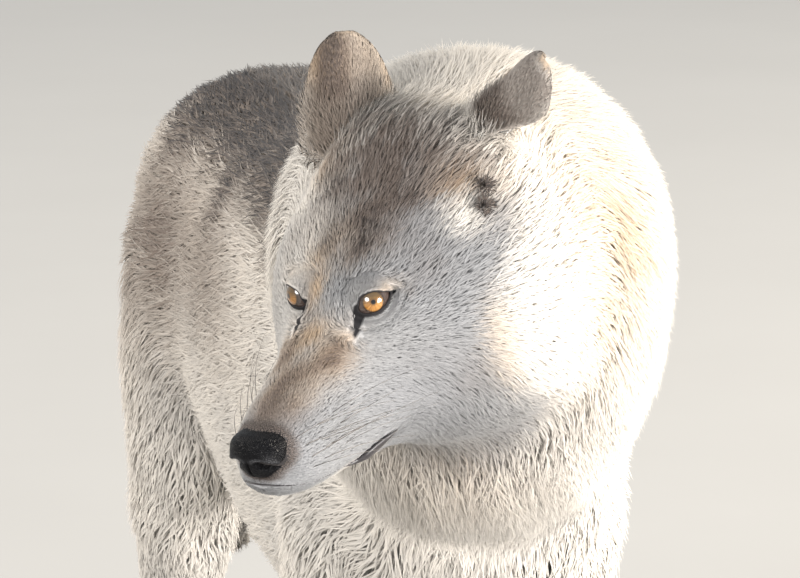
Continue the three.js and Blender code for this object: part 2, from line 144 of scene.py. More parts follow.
def makeCamera():
    turn, rise = math.radians(view["azimuth"]), math.radians(view["elevation"])
    wide, high = view["picture"]
    pixel = 0.001 / view["pixelsPerMillimetre"]
    level = Vector((-math.sin(turn), -math.cos(turn), 0))
    right = Vector((math.cos(turn), -math.sin(turn), 0))
    up = Vector((0, 0, 1))
    back = level * math.cos(rise) + up * math.sin(rise)
    top = up * math.cos(rise) - level * math.sin(rise)
    eyes = Vector(toRow(headOrigin))
    aim = eyes - right * (view["eyesAt"][0] - wide / 2) * pixel + top * (view["eyesAt"][1] - high / 2) * pixel
    data = bpy.data.cameras.new("camera")
    data.sensor_width = view["sensor"]
    data.lens = view["sensor"] * view["distance"] / (wide * pixel)
    data.clip_end = 60
    camera = bpy.data.objects.new("camera", data)
    bpy.context.scene.collection.objects.link(camera)
    columns = Matrix((right, top, back)).transposed().to_4x4()
    camera.matrix_world = Matrix.Translation(aim + back * view["distance"]) @ columns
    bpy.context.scene.camera = camera


makeCamera()
print("camera in place")

# ---- materials ----

palette = {
    "cream": (0.93, 0.87, 0.785),
    # white is a mid grey, not white hair: where the face takes it, it is painted shade
    "white": (0.345, 0.346, 0.352),
    "tan": (0.60, 0.41, 0.24),
    "brown": (0.215, 0.165, 0.135),
    "dark": (0.035, 0.030, 0.030),
    "blackSkin": (0.012, 0.011, 0.012),
}


def rgba(name):
    return (*palette[name], 1)


def newMaterial(name, sockets):
    material = bpy.data.materials.new(name)
    material.use_nodes = True
    tree = material.node_tree
    shader = tree.nodes["Principled BSDF"]
    for socket, value in sockets.items():
        shader.inputs[socket].default_value = value
    return material, tree, shader


def feed(tree, socket, value):
    if isinstance(value, bpy.types.NodeSocket):
        tree.links.new(value, socket)
    else:
        socket.default_value = value


def addNode(tree, kind, inputs=None, **settings):
    node = tree.nodes.new(kind)
    for name, value in settings.items():
        setattr(node, name, value)
    for socket, value in (inputs or {}).items():
        feed(tree, node.inputs[socket], value)
    return node


def blendOf(tree, share, first, second, kind="MIX"):
    inputs = {0: share, 6: first, 7: second}
    return addNode(tree, "ShaderNodeMix", inputs, data_type="RGBA", blend_type=kind).outputs[2]


def mathOf(tree, operation, *values):
    return addNode(tree, "ShaderNodeMath", dict(enumerate(values)), operation=operation).outputs[0]


def rangeOf(tree, value, low, high, start=0.0, end=1.0):
    inputs = {"Value": value, "From Min": low, "From Max": high, "To Min": start, "To Max": end}
    return addNode(tree, "ShaderNodeMapRange", inputs, interpolation_type="SMOOTHSTEP").outputs["Result"]


def attribute(tree, name):
    return addNode(tree, "ShaderNodeAttribute", attribute_name=name).outputs


def newGroup(name, inputs, outputs):
    group = bpy.data.node_groups.new(name, "ShaderNodeTree")
    for way, sockets in (("INPUT", inputs), ("OUTPUT", outputs)):
        for socket, kind in sockets.items():
            group.interface.new_socket(socket, in_out=way, socket_type="NodeSocket" + kind)
    return group, group.nodes.new("NodeGroupInput").outputs, group.nodes.new("NodeGroupOutput").inputs


# Colours of the coat from its marks: warm tan, grey brown, and dark ends on a cream ground, and a grey whose share
# over the face is painted shade.
def makeCoatGroup():
    floats = {name: "Float" for name in ("Grey And Shade", "Along", "Chance", "Strand", "Root Shade")}
    group, given, leave = newGroup("coatMarks", {"Marks": "Color", **floats}, {"Color": "Color"})
    parts = addNode(group, "ShaderNodeSeparateColor", {"Color": given["Marks"]}).outputs
    tan, brown, dark = parts[0], parts[1], parts[2]
    color = blendOf(group, given["Grey And Shade"], rgba("cream"), rgba("white"))
    color = blendOf(group, tan, color, rgba("tan"))
    outer = rangeOf(group, given["Along"], 0.1, 0.75, 0.68, 1.0)
    color = blendOf(group, mathOf(group, "MULTIPLY", brown, outer), color, rgba("brown"))
    ends = rangeOf(group, given["Along"], 0.3, 0.85)
    jitter = rangeOf(group, given["Chance"], 0.0, 1.0, 0.6, 1.5)
    ends = mathOf(group, "MULTIPLY", mathOf(group, "MULTIPLY", dark, ends), jitter)
    ends = mathOf(group, "MINIMUM", ends, 1.0)
    color = blendOf(group, ends, color, rgba("dark"))
    light = rangeOf(group, given["Chance"], 0.0, 1.0, 0.88, 1.06)
    strand = rangeOf(group, given["Strand"], 0.3, 0.7, 0.86, 1.04)
    # Each lock darkens towards its root, down to Root Shade: painted shade deep in the coat.
    base = rangeOf(group, given["Along"], 0.0, 0.55)
    base = mathOf(group, "ADD", mathOf(group, "MULTIPLY", base, mathOf(group, "SUBTRACT", 1.0, given["Root Shade"])),
                 given["Root Shade"])
    level = mathOf(group, "MULTIPLY", mathOf(group, "MULTIPLY", light, strand), base)
    grey = addNode(group, "ShaderNodeCombineColor", {"Red": level, "Green": level, "Blue": level}).outputs[0]
    color = blendOf(group, 1.0, color, grey, "MULTIPLY")
    feed(group, leave["Color"], color)
    return group


# Fine grain in two colours, stretched where asked, and its height for a bump.
def makeGrainGroup():
    inputs = {"Stretch": "Vector", "Scale": "Float", "Detail": "Float", "First": "Color", "Second": "Color"}
    group, given, leave = newGroup("grain", inputs, {"Color": "Color", "Height": "Float"})
    place = addNode(group, "ShaderNodeTexCoord").outputs["Object"]
    place = addNode(group, "ShaderNodeMapping", {"Vector": place, "Scale": given["Stretch"]}).outputs[0]
    noise = {"Vector": place, "Scale": given["Scale"], "Detail": given["Detail"]}
    height = addNode(group, "ShaderNodeTexNoise", noise).outputs["Fac"]
    feed(group, leave["Color"], blendOf(group, height, given["First"], given["Second"]))
    feed(group, leave["Height"], height)
    return group


coatGroup = makeCoatGroup()
grainGroup = makeGrainGroup()


def grainIn(tree, scale, detail, first=(0, 0, 0, 1), second=(1, 1, 1, 1), stretch=(1, 1, 1)):
    inputs = {"Stretch": stretch, "Scale": scale, "Detail": detail, "First": first, "Second": second}
    return addNode(tree, "ShaderNodeGroup", inputs, node_tree=grainGroup).outputs


def addBump(tree, shader, height, strength, distance):
    bump = addNode(tree, "ShaderNodeBump", {"Height": height, "Strength": strength, "Distance": distance})
    feed(tree, shader.inputs["Normal"], bump.outputs[0])

# The hair: marks on each lock, streaks along it, a soft sheen, and a share of light through it.
coatFinish = {"rootShade": 0.90, "glow": 0.40, "strands": 3.5, "roughness": 0.62, "lean": 0.18, "ground": 0.78}


def makeCoatMaterial():
    material, tree, shader = newMaterial("coatHair", {
        "Roughness": coatFinish["roughness"],
        "Specular IOR Level": 0.3,
        "Sheen Weight": 0.12,
        "Sheen Roughness": 0.5,
    })
    marks = attribute(tree, "marks")
    along, beside, own = addNode(tree, "ShaderNodeSeparateXYZ", {0: attribute(tree, "lock")["Vector"]}).outputs
    streak = addNode(tree, "ShaderNodeCombineXYZ", {
        "X": mathOf(tree, "MULTIPLY", beside, coatFinish["strands"]),
        "Y": mathOf(tree, "MULTIPLY", along, 0.8),
        "Z": mathOf(tree, "MULTIPLY", own, 90.0),
    }).outputs[0]
    noise = addNode(tree, "ShaderNodeTexNoise", {"Vector": streak, "Scale": 1.6, "Detail": 2.0}).outputs["Fac"]
    color = addNode(tree, "ShaderNodeGroup", {
        "Marks": marks["Color"], "Grey And Shade": marks["Alpha"], "Along": along, "Chance": own, "Strand": noise,
        "Root Shade": coatFinish["rootShade"],
    }, node_tree=coatGroup).outputs["Color"]
    feed(tree, shader.inputs["Base Color"], color)
    through = addNode(tree, "ShaderNodeBsdfTranslucent", {"Color": color}).outputs[0]
    both = addNode(tree, "ShaderNodeMixShader", {0: coatFinish["glow"], 1: shader.outputs[0], 2: through})
    feed(tree, tree.nodes["Material Output"].inputs["Surface"], both.outputs[0])
    return material


skinFinish = {"along": 0.28, "rootShade": 0.7, "grain": 900.0, "bump": (0.35, 0.001)}


# The skin under the coat: the same marks, darkened as painted shade deep in the coat, short fine hair in its bump.
def makeSkinMaterial():
    material, tree, shader = newMaterial("skinFuzz", {"Roughness": 0.75, "Specular IOR Level": 0.25})
    marks = attribute(tree, "marks")
    fine = grainIn(tree, skinFinish["grain"], 3.0)["Height"]
    color = addNode(tree, "ShaderNodeGroup", {
        "Marks": marks["Color"], "Grey And Shade": marks["Alpha"], "Along": skinFinish["along"], "Chance": 0.5, "Strand": fine,
        "Root Shade": skinFinish["rootShade"],
    }, node_tree=coatGroup).outputs["Color"]
    color = blendOf(tree, attribute(tree, "bare")["Fac"], color, rgba("blackSkin"))
    feed(tree, shader.inputs["Base Color"], color)
    addBump(tree, shader, fine, *skinFinish["bump"])
    return material


coatHair = makeCoatMaterial()
skinFuzz = makeSkinMaterial()

# ---- meshes ----


def newObject(name, points, faces, material):
    faces = np.asarray(faces, np.int32)
    count, corners = faces.shape
    mesh = bpy.data.meshes.new(name)
    mesh.vertices.add(len(points))
    mesh.vertices.foreach_set("co", toRow(points).astype(np.float32).ravel())
    mesh.loops.add(count * corners)
    mesh.loops.foreach_set("vertex_index", faces.ravel())
    mesh.polygons.add(count)
    mesh.polygons.foreach_set("loop_start", np.arange(0, count * corners, corners, dtype=np.int32))
    mesh.polygons.foreach_set("use_smooth", np.full(count, True))
    mesh.update(calc_edges=True)
    mesh.materials.append(material)
    made = bpy.data.objects.new(name, mesh)
    bpy.context.scene.collection.objects.link(made)
    return made


def setValues(mesh, name, kind, values):
    own = mesh.attributes.new(name, kind, "POINT")
    field = {"FLOAT": "value", "FLOAT_VECTOR": "vector", "FLOAT_COLOR": "color"}[kind]
    own.data.foreach_set(field, np.asarray(values, np.float32).ravel())


def meshArrays(mesh):
    points = np.empty(len(mesh.vertices) * 3, np.float32)
    mesh.vertices.foreach_get("co", points)
    mesh.calc_loop_triangles()
    corners = np.empty(len(mesh.loop_triangles) * 3, np.int32)
    mesh.loop_triangles.foreach_get("vertices", corners)
    edges = np.empty(len(mesh.edges) * 2, np.int32)
    mesh.edges.foreach_get("vertices", edges)
    return points.reshape(-1, 3).astype(float), corners.reshape(-1, 3), edges.reshape(-1, 2)


def normalsOf(points, corners):
    a, b, c = (points[corners[:, k]] for k in range(3))
    flat = np.cross(b - a, c - a)
    total = np.zeros_like(points)
    for k in range(3):
        for axis in range(3):
            total[:, axis] += np.bincount(corners[:, k], flat[:, axis], len(points))
    return unit(total)


def smoothed(values, edges, times, share=0.5, hold=None):
    values = np.array(values, float)
    flat = values.ndim == 1
    values = values.reshape(len(values), -1)
    first, second = edges[:, 0], edges[:, 1]
    count = np.bincount(first, minlength=len(values)) + np.bincount(second, minlength=len(values))
    count = np.maximum(count, 1)[:, None]
    move = np.full((len(values), 1), share) if hold is None else share * (1 - hold)[:, None]
    for _ in range(times):
        total = np.stack([
            np.bincount(first, values[second, k], len(values)) + np.bincount(second, values[first, k], len(values))
            for k in range(values.shape[1])
        ], 1)
        values = values * (1 - move) + move * total / count
    return values[:, 0] if flat else values


def treeOf(points, corners):
    return BVHTree.FromPolygons(points.tolist(), corners.tolist(), all_triangles=True)


# Two triangles for each field between rings of points.
def stripFaces(rows, around, start=0):
    faces = []
    for i in range(rows):
        for j in range(around):
            a, b = start + i * around + j, start + i * around + (j + 1) % around
            faces += [(a, b, b + around), (a, b + around, a + around)]
    return faces


def outward(points, faces):
    a, b, c = (points[faces[:, k]] for k in range(3))
    volume = (np.cross(a, b) * c).sum()
    return faces if volume > 0 else faces[:, ::-1]


# Distance to a line through given places.
def gapToPath(points, path):
    path = np.array(path, float)
    best = np.full(len(points), 999.0)
    for first, second in zip(path[:-1], path[1:]):
        way = second - first
        t = np.clip(((points - first) @ way) / (way @ way), 0, 1)
        best = np.minimum(best, np.linalg.norm(points - first - t[:, None] * way, axis=1))
    return best


# Nearest place on a surface: its triangle and the shares of the triangle's corners.
def nearestOn(tree, points, corners, wanted):
    found = [tree.find_nearest(p) for p in wanted.tolist()]
    index = np.array([f[2] for f in found])
    place = np.array([f[0][:] for f in found])
    return index, place, sharesAt(points, corners, index, place)


def sharesAt(points, corners, index, place):
    a, b, c = (points[corners[index, k]] for k in range(3))
    u, v, w = b - a, c - a, place - a
    uu, uv, vv = (u * u).sum(1), (u * v).sum(1), (v * v).sum(1)
    wu, wv = (w * u).sum(1), (w * v).sum(1)
    under = np.maximum(uu * vv - uv * uv, 1e-12)
    s = np.clip((vv * wu - uv * wv) / under, 0, 1)
    t = np.clip((uu * wv - uv * wu) / under, 0, 1)
    return np.stack([np.clip(1 - s - t, 0, 1), s, t], 1)


def valueAt(values, corners, index, shares):
    if values.ndim == 1:
        return sum(values[corners[index, k]] * shares[:, k] for k in range(3))
    return sum(values[corners[index, k]] * shares[:, k : k + 1] for k in range(3))


# ---- skin: the flesh solids as one closed surface, drawn in by the depth of the coat ----

skinLook = {"voxel": 5.3, "quickVoxel": 7.0, "closeCuts": 0.5, "softenSteps": 5, "thickShare": 0.3, "joinSteps": 70}
sides = ("left", "right")
legNodes = [part + side for side in sides for part in
            ("shoulder_", "forearm_", "forepaw_", "thigh_", "shank_", "hindpaw_")]
fleshNodes = ["trunk", "neck", "tail", "head", "lower_jaw"] + legNodes
regionOf = {name: name.split("_")[0] for name in legNodes}
regionOf.update({"trunk": "trunk", "neck": "neck", "tail": "tail", "head": "head", "lower_jaw": "head"})
regions = ["trunk", "neck", "tail", "head", "shoulder", "forearm", "forepaw", "thigh", "shank", "hindpaw"]
headRegion, neckRegion = regions.index("head"), regions.index("neck")


def joinedFlesh():
    whole = bmesh.new()
    for name in fleshNodes + ["nose", "eye_left", "eye_right"]:
        one = bmesh.new()
        one.from_mesh(cadNodes[name].data)
        bmesh.ops.remove_doubles(one, verts=one.verts, dist=1e-6)
        one.normal_update()
        for vert in one.verts:
            vert.co += vert.normal * skinLook["closeCuts"] / 1000
        mesh = bpy.data.meshes.new("flesh")
        one.to_mesh(mesh)
        one.free()
        whole.from_mesh(mesh)
        bpy.data.meshes.remove(mesh)
    mesh = bpy.data.meshes.new("flesh")
    whole.to_mesh(mesh)
    whole.free()
    return mesh


# A mesh with one modifier applied.
def modified(mesh, kind, **settings):
    made = bpy.data.objects.new("work", mesh)
    bpy.context.scene.collection.objects.link(made)
    modifier = made.modifiers.new("work", kind)
    for name, value in settings.items():
        setattr(modifier, name, value)
    graph = bpy.context.evaluated_depsgraph_get()
    result = bpy.data.meshes.new_from_object(made.evaluated_get(graph))
    bpy.data.objects.remove(made)
    bpy.data.meshes.remove(mesh)
    return result


def regionShares(points, edges):
    found, owner, rows, start = [], [], [], 0
    for name in fleshNodes:
        own, corners, _ = meshArrays(cadNodes[name].data)
        found.append(toWolf(own))
        rows.append(corners + start)
        owner += [regions.index(regionOf[name])] * len(corners)
        start += len(own)
    tree = treeOf(np.concatenate(found), np.concatenate(rows))
    owner = np.array(owner)
    nearest = owner[[tree.find_nearest(p)[2] for p in points.tolist()]]
    shares = np.zeros((len(points), len(regions)))
    shares[np.arange(len(points)), nearest] = 1
    return smoothed(shares, edges, 10)


# Depth, length and width of the hair by region in millimetres, and how many locks lie over each other.
coatLook = {
    "trunk": {"depth": 18, "length": 54, "width": 1.9, "cover": 5.3},
    "neck": {"depth": 26, "length": 60, "width": 1.08, "cover": 14.4},
    "tail": {"depth": 20, "length": 58, "width": 1.9, "cover": 7.0},
    "shoulder": {"depth": 12, "length": 38, "width": 1.8, "cover": 5.2},
    "thigh": {"depth": 13, "length": 42, "width": 1.9, "cover": 4.2},
    "forearm": {"depth": 6, "length": 24, "width": 1.8, "cover": 3.2},
    "shank": {"depth": 6, "length": 24, "width": 1.9, "cover": 3.2},
    "forepaw": {"depth": 4, "length": 13, "width": 1.9, "cover": 2.8},
    "hindpaw": {"depth": 4, "length": 13, "width": 1.9, "cover": 2.8},
}
# The same along the head, from the nose to the nape.
headLook = {
    "ahead": (115, 95, 60, 35, 10, -15, -45, -80, -115, -160),
    "depth": (1.8, 2.2, 2.8, 3.4, 4.4, 6.0, 9, 13, 18, 23),
    "length": (4.5, 5.5, 7, 9, 12, 16, 23, 32, 42, 52),
    "width": (0.75, 0.8, 0.85, 0.9, 0.95, 1.0, 1.05, 1.2, 1.3, 1.5),
    "cover": (2.6, 2.6, 2.8, 3.2, 4.2, 5.5, 7.5, 9.5, 10.5, 11),
    "topDepth": 0.72,
    "topLength": 0.82,
    "eyeReach": 24,
    "eyeDepth": 2.6,
    "eyeLength": 7,
    "eyeWidth": 0.95,
}


def nearEyes(place, reach):
    distance = [np.linalg.norm(place - [s * eyeBall["apart"] / 2, 0, eyeBall["level"]], axis=1) for s in (1, -1)]
    return np.exp(-((np.minimum(*distance) / reach) ** 4))


def coatValue(name, points, normals, shares):
    place = toHead(points)
    ahead = -place[:, 1]
    top = np.clip((normals @ headTurn)[:, 2], 0, 1)
    order = np.argsort(headLook["ahead"])
    head = np.interp(ahead, np.array(headLook["ahead"])[order], np.array(headLook[name])[order])
    factor = {"depth": headLook["topDepth"], "length": headLook["topLength"]}.get(name, 1.0)
    head *= 1 + (factor - 1) * top * ramp(ahead, -150, -100)
    if name != "cover":
        goal = {"depth": "eyeDepth", "length": "eyeLength", "width": "eyeWidth"}[name]
        near = nearEyes(place, headLook["eyeReach"])
        head = head * (1 - near) + np.minimum(head, headLook[goal]) * near
    own = [coatLook[r][name] if r in coatLook else 0 for r in regions]
    total = shares @ np.array(own, float) + shares[:, headRegion] * head
    if name in lipNear:
        close = 1 - ramp(awayFromMouth(place), 4, lipNear["reach"])
        total = total * (1 - close) + np.minimum(total, lipNear[name]) * close
    return total


# The hair is short beside the mouth, whose line runs over these places of the head: aside, ahead, level.
mouthPlaces = [(46, 5, -83), (41.6, 15, -87), (35, 28, -92), (29, 42, -94.7), (28.5, 52, -94), (30, 65, -89),
               (29.5, 82, -85), (25, 101, -79), (19, 109, -75), (12, 114, -70), (0, 116, -68)]
lipNear = {"reach": 15, "depth": 1.1, "length": 4.2, "width": 0.7}


def awayFromMouth(place):
    return gapToPath(np.stack([np.abs(place[:, 0]), -place[:, 1], place[:, 2]], 1), mouthPlaces)


# How thick the body is under each point, seen along its inward normal.
def thicknessUnder(points, normals, corners):
    tree = treeOf(points, corners)
    start = points - normals * 1.0
    hits = [tree.ray_cast(p, d)[3] for p, d in zip(start.tolist(), (-normals).tolist())]
    return np.array([300.0 if h is None else h for h in hits])


def makeSkin():
    voxel = skinLook["voxel"]
    mesh = modified(joinedFlesh(), "REMESH", mode="VOXEL", voxel_size=voxel / 1000)
    points, corners, edges = meshArrays(mesh)
    points = smoothed(toWolf(points), edges, skinLook["softenSteps"])
    shares = regionShares(points, edges)
    normals = normalsOf(points, corners)
    depth = coatValue("depth", points, normals, shares)
    thick = smoothed(thicknessUnder(points, normals, corners), edges, 6)
    depth = smoothed(np.minimum(depth, skinLook["thickShare"] * thick), edges, 8)
    sole = ramp(points[:, 2], 3, 10)
    outline = smoothed(normals, edges, 6)
    drawn = points - unit(outline) * (depth * sole)[:, None]
    drawn = smoothed(drawn, edges, 4, hold=1 - ramp(points[:, 2], 4, 14))
    join = shares[:, headRegion] * (1 - shares[:, headRegion]) * 4  # 1 where head and neck meet
    join = smoothed(join, edges, 12) * ramp(toHead(drawn)[:, 1], 45, 75)
    drawn = smoothed(drawn, edges, skinLook["joinSteps"], hold=1 - np.clip(2.2 * join, 0, 1))
    mesh.vertices.foreach_set("co", toRow(drawn).astype(np.float32).ravel())
    mesh.update()
    return refinedFace(mesh)


faceBox = {"back": 50, "aside": 90, "low": -140}


# Twice as many points over the face, where the hair is short.
def refinedFace(mesh):
    work = bmesh.new()
    work.from_mesh(mesh)
    work.verts.ensure_lookup_table()
    places = toHead(toWolf(np.array([v.co for v in work.verts])))
    inside = (places[:, 1] < faceBox["back"]) & (np.abs(places[:, 0]) < faceBox["aside"])
    inside &= places[:, 2] > faceBox["low"]
    chosen = [e for e in work.edges if inside[e.verts[0].index] and inside[e.verts[1].index]]
    bmesh.ops.subdivide_edges(work, edges=chosen, cuts=1, use_grid_fill=True)
    bmesh.ops.triangulate(work, faces=[f for f in work.faces if len(f.verts) > 4])
    work.to_mesh(mesh)
    work.free()
    points, _, edges = meshArrays(mesh)
    place = toHead(toWolf(points))
    hold = 1 - ramp(-place[:, 1], -55, -35)
    points = smoothed(points, edges, 3, hold=hold)
    mesh.vertices.foreach_set("co", points.astype(np.float32).ravel())
    mesh.update()
    return mesh


skinMesh = makeSkin()
skinMesh.name = "skin"
print("skin wrapped:", len(skinMesh.vertices), "points")

# ---- ears: cupped leaves from the head's frame, in millimetres ----

earFringe = {"reach": 34, "depth": 24, "length": 34, "cover": 12}
earLook = {
    "halfWidth": 29.5, "cup": 15, "thick": 4.5, "buried": 0.3, "around": 36, "rows": 40,
    # The left ear's colours paint the shade that lies over it: no tan, slate brown and some dark.
    "left": {"tan": 0.0, "brown": 0.74, "dark": 0.12, "streak": 0.0, "streakAt": 0, "fluff": (0.12, 0.45),
             "trim": 0.80},
    "right": {"tan": 0.95, "brown": 0.44, "dark": 0.0, "streak": 0.95, "streakAt": 0.3, "fluff": (-0.3, 0.0),
              "trim": 0.0},
}
ears = {
    "left": {"root": (52, 134, 52), "tip": (112, 136, 116), "opens": (0.42, 0.82, -0.4)},
    "right": {"root": (-56, 128, 54), "tip": (-56, 146, 119), "opens": (-0.5, 0.85, 0.12)},
}


def earMesh(side):
    root, tip, opens = (np.array(ears[side][k], float) for k in ("root", "tip", "opens"))
    long = np.linalg.norm(tip - root)
    axis = (tip - root) / long
    wide = across(opens, axis)
    facing = across(axis, wide)
    outer = np.sign(wide[0]) * (1 if side == "left" else -1)
    rings = []
    rows, around = earLook["rows"], earLook["around"]
    for i in range(rows + 1):
        t = -earLook["buried"] + (0.975 + earLook["buried"]) * i / rows
        rise = max(0, t)
        half = earLook["halfWidth"] * max(0.06, (1 - rise**2.6) ** 0.6)
        thick = earLook["thick"] * (1 - 0.45 * rise) * min(1, half / 8)
        angle = np.arange(around) * 2 * np.pi / around
        v = np.cos(angle)
        v = np.where(v * outer > 0, v * (1 - earLook[side]["trim"] * (1 - ramp(rise, 0.1, 0.72))), v)
        cup = earLook["cup"] * half / earLook["halfWidth"] * (v * v - 0.35)
        depth = cup + thick / 2 * np.sin(angle)
        rings.append(root + axis * t * long + np.outer(v * half, wide) + np.outer(depth, facing))
    points = np.concatenate(rings + [rings[0].mean(0)[None], rings[-1].mean(0)[None]])
    faces = stripFaces(rows, around)
    last = rows * around
    for j in range(around):
        k = (j + 1) % around
        faces += [(len(points) - 2, k, j), (len(points) - 1, last + j, last + k)]
    faces = outward(points, np.array(faces))
    return fromHead(points), faces, axis @ headTurn.T, facing @ headTurn.T


# ---- face: the skin's surface seen from outside, the lids, the line of the mouth, the nose ----


def skinGuide():
    points, corners, _ = meshArrays(skinMesh)
    return treeOf(toHead(toWolf(points)), corners)


headGuide = skinGuide()  # the skin in the head's frame


def castOn(start, way):
    hit = headGuide.ray_cast(Vector(start), Vector(way))[0]
    return None if hit is None else np.array(hit)


# Axes of one eye in the head's frame: outward along the face, up the lid, and forward.
def eyeAxes(side):
    sign = 1 if side == "left" else -1
    looks = np.array(gazes[side]) / np.linalg.norm(gazes[side])
    out = across(np.array([0, 0, 1.0]), looks)
    return out * sign, across(looks, out), looks


# The opening between the lids: its reach from the pupil by the angle from the outer side, in degrees.
lidLook = {
    "opening": ((9, 12.6), (30, 8.2), (60, 6.3), (90, 5.7), (117, 6.2), (151, 8.2), (180, 9.2), (204, 11.2),
                (222, 9.8), (251, 7.2), (282, 6.7), (314, 7.2), (343, 9.2)),
    "steps": ((0, -0.3), (0.1, 0.35), (0.5, 0.95), (1.1, 1.25), (1.9, 1.35), (2.8, 1.3), (3.8, 1.2), (5, 1.1),
              (6.4, 1.0), (8, 0.9), (10, 0.8), (12, 0.8), (14, 0.8)),
    "around": 112,
    "sink": 5.5,
    "upperRim": 1.25,
    "lowerRim": 2.7,
    "duct": ((-9.0, -4.0), (-16.5, -18.0)),
    "ductWidth": (4.6, 0.9),
    "corner": ((11.5, 1.9), (17.0, 1.2)),
    "cornerWidth": (1.6, 0.4),
}


def openingAt(angle):
    keys, reach = np.array(lidLook["opening"]).T
    return np.interp(np.degrees(angle) % 360, keys, reach, period=360)


def alongSegment(u, v, ends):
    (au, av), (bu, bv) = ends
    du, dv = bu - au, bv - av
    t = np.clip(((u - au) * du + (v - av) * dv) / (du * du + dv * dv), 0, 1)
    return t, np.hypot(u - au - t * du, v - av - t * dv)


# Distance to a segment and the way that leads off it.
def fromSegment(u, v, ends):
    (au, av), (bu, bv) = ends
    t, gap = alongSegment(u, v, ends)
    du, dv = u - au - t * (bu - au), v - av - t * (bv - av)
    return gap, du / np.maximum(gap, 0.5), dv / np.maximum(gap, 0.5)


# How much of the lid is bare black skin: the rims, the tear duct and the outer corner.
def lidBare(u, v, wider=0.0):
    angle = np.arctan2(v, u)
    away = np.hypot(u, v) - openingAt(angle)
    lower = ramp(-np.sin(angle), -0.25, 0.35)
    rim = lidLook["upperRim"] + (lidLook["lowerRim"] - lidLook["upperRim"]) * lower + wider
    bare = 1 - ramp(away, rim - 0.5, rim + 0.6)
    parts = ((lidLook["duct"], lidLook["ductWidth"]), (lidLook["corner"], lidLook["cornerWidth"]))
    for ends, (wide, narrow) in parts:
        t, gap = alongSegment(u, v, ends)
        half = wide + (narrow - wide) * t + wider
        bare = np.maximum(bare, 1 - ramp(gap, half - 0.4, half + 0.7))
    return bare


def lidMesh(side):
    out, up, looks = eyeAxes(side)
    middle = toHead(eyeMiddles[side])
    around = lidLook["around"]
    turn = np.arange(around) * 2 * np.pi / around
    edge = openingAt(turn)
    rings, bare = [], []
    for away, lift in lidLook["steps"]:
        reach = edge + away
        u, v = reach * np.cos(turn), reach * np.sin(turn)
        radius = eyeBall["radius"] + lift
        bend = 0.84 * radius
        inside = np.minimum(reach, bend)
        ball = np.sqrt(radius**2 - inside**2)
        ball -= (reach - inside) * bend / math.sqrt(radius**2 - bend**2)
        share = ramp(away, 2.0, 9.0)
        deep = []
        for k in range(around):
            over = middle + out * u[k] + up * v[k]
            hit = castOn(over + looks * 60, -looks)
            skinDeep = ball[k] if hit is None else (hit - over) @ looks
            tuck = 0.4 - 2.9 * ramp(away, 8, 14)
            deep.append(ball[k] * (1 - share) + (skinDeep + tuck) * share)
        deep = np.array(deep)
        if share > 0:
            for _ in range(4):
                deep = deep * 0.5 + (np.roll(deep, 1) + np.roll(deep, -1)) * 0.25
        rings.append(middle + np.outer(u, out) + np.outer(v, up) + np.outer(deep, looks))
        bare.append(lidBare(u, v, 0.3))
    points, faces = np.concatenate(rings), np.array(stripFaces(len(rings) - 1, around))
    if (normalsOf(points, faces) @ looks).sum() < 0:
        faces = faces[:, ::-1]
    return fromHead(points), faces, np.concatenate(bare)


# Places of points beside an eye: across, up and forward of its middle.
def besideEye(points, side):
    place = toHead(points) - toHead(eyeMiddles[side])
    axes = np.stack(eyeAxes(side))
    return (place @ axes.T).T


def beyondOpening(u, v):
    return np.hypot(u, v) - openingAt(np.arctan2(v, u))


# The mouth: its level by how far ahead it is, and half the height of the bare lip.
lipLook = {
    "line": ((-5, -82), (10, -85), (16, -86.5), (22, -89), (30, -91.4), (38, -93), (44, -93.8), (51, -93), (65, -90),
             (82, -86), (96, -82.5), (104, -79.5), (112, -76.5)),
    "half": ((11, 0.4), (16, 3.2), (22, 5.8), (30, 6.6), (37, 5.0), (44, 2.6), (50, 1.1), (60, 0.6), (90, 0.5),
             (112, 0.5)),
    "pivot": 58,
    "outside": 80,
    "sink": 3.5,
    "turns": 138,
    "steps": 150,
    "around": 12,
    "bulge": ((38, 2.6), (58, 0.6)),
    "out": ((38, 1.8), (58, 0.0)),
    "rear": 13,
}


def lipPath():
    points, ahead = [], 60.0
    for angle in np.radians(np.linspace(-lipLook["turns"], lipLook["turns"], lipLook["steps"])):
        way = np.array([math.sin(angle), -math.cos(angle), 0])
        for _ in range(4):
            level = np.interp(ahead, *np.array(lipLook["line"]).T)
            pivot = np.array([0, -lipLook["pivot"], level])
            hit = castOn(pivot + way * lipLook["outside"], -way)
            ahead = -hit[1]
        points.append(hit)
    points = np.array([p for p in points if -p[1] > lipLook["rear"]])
    for _ in range(3):
        points[1:-1] = points[1:-1] * 0.5 + (points[:-2] + points[2:]) * 0.25
    return points


mouthLine = lipPath()


# The skin drops back under the lids.
def sinkUnderLids():
    points, _, _ = meshArrays(skinMesh)
    points = toWolf(points)
    for side in sides:
        u, v, deep = besideEye(points, side)
        away = beyondOpening(u, v)
        share = (1 - ramp(away, 8.5, 12.5)) * (np.abs(deep - 8) < 20)
        points -= (eyeAxes(side)[2] @ headTurn.T) * (lidLook["sink"] * share)[:, None]
    place = toHead(points)
    under = ramp(-place[:, 1], 94, 108) * ramp(-place[:, 2], 56, 64) * (1 - ramp(-place[:, 2], 73, 80))
    points += headTurn[:, 1] * (lipLook["sink"] * under)[:, None]
    skinMesh.vertices.foreach_set("co", toRow(points).astype(np.float32).ravel())
    skinMesh.update()


sinkUnderLids()


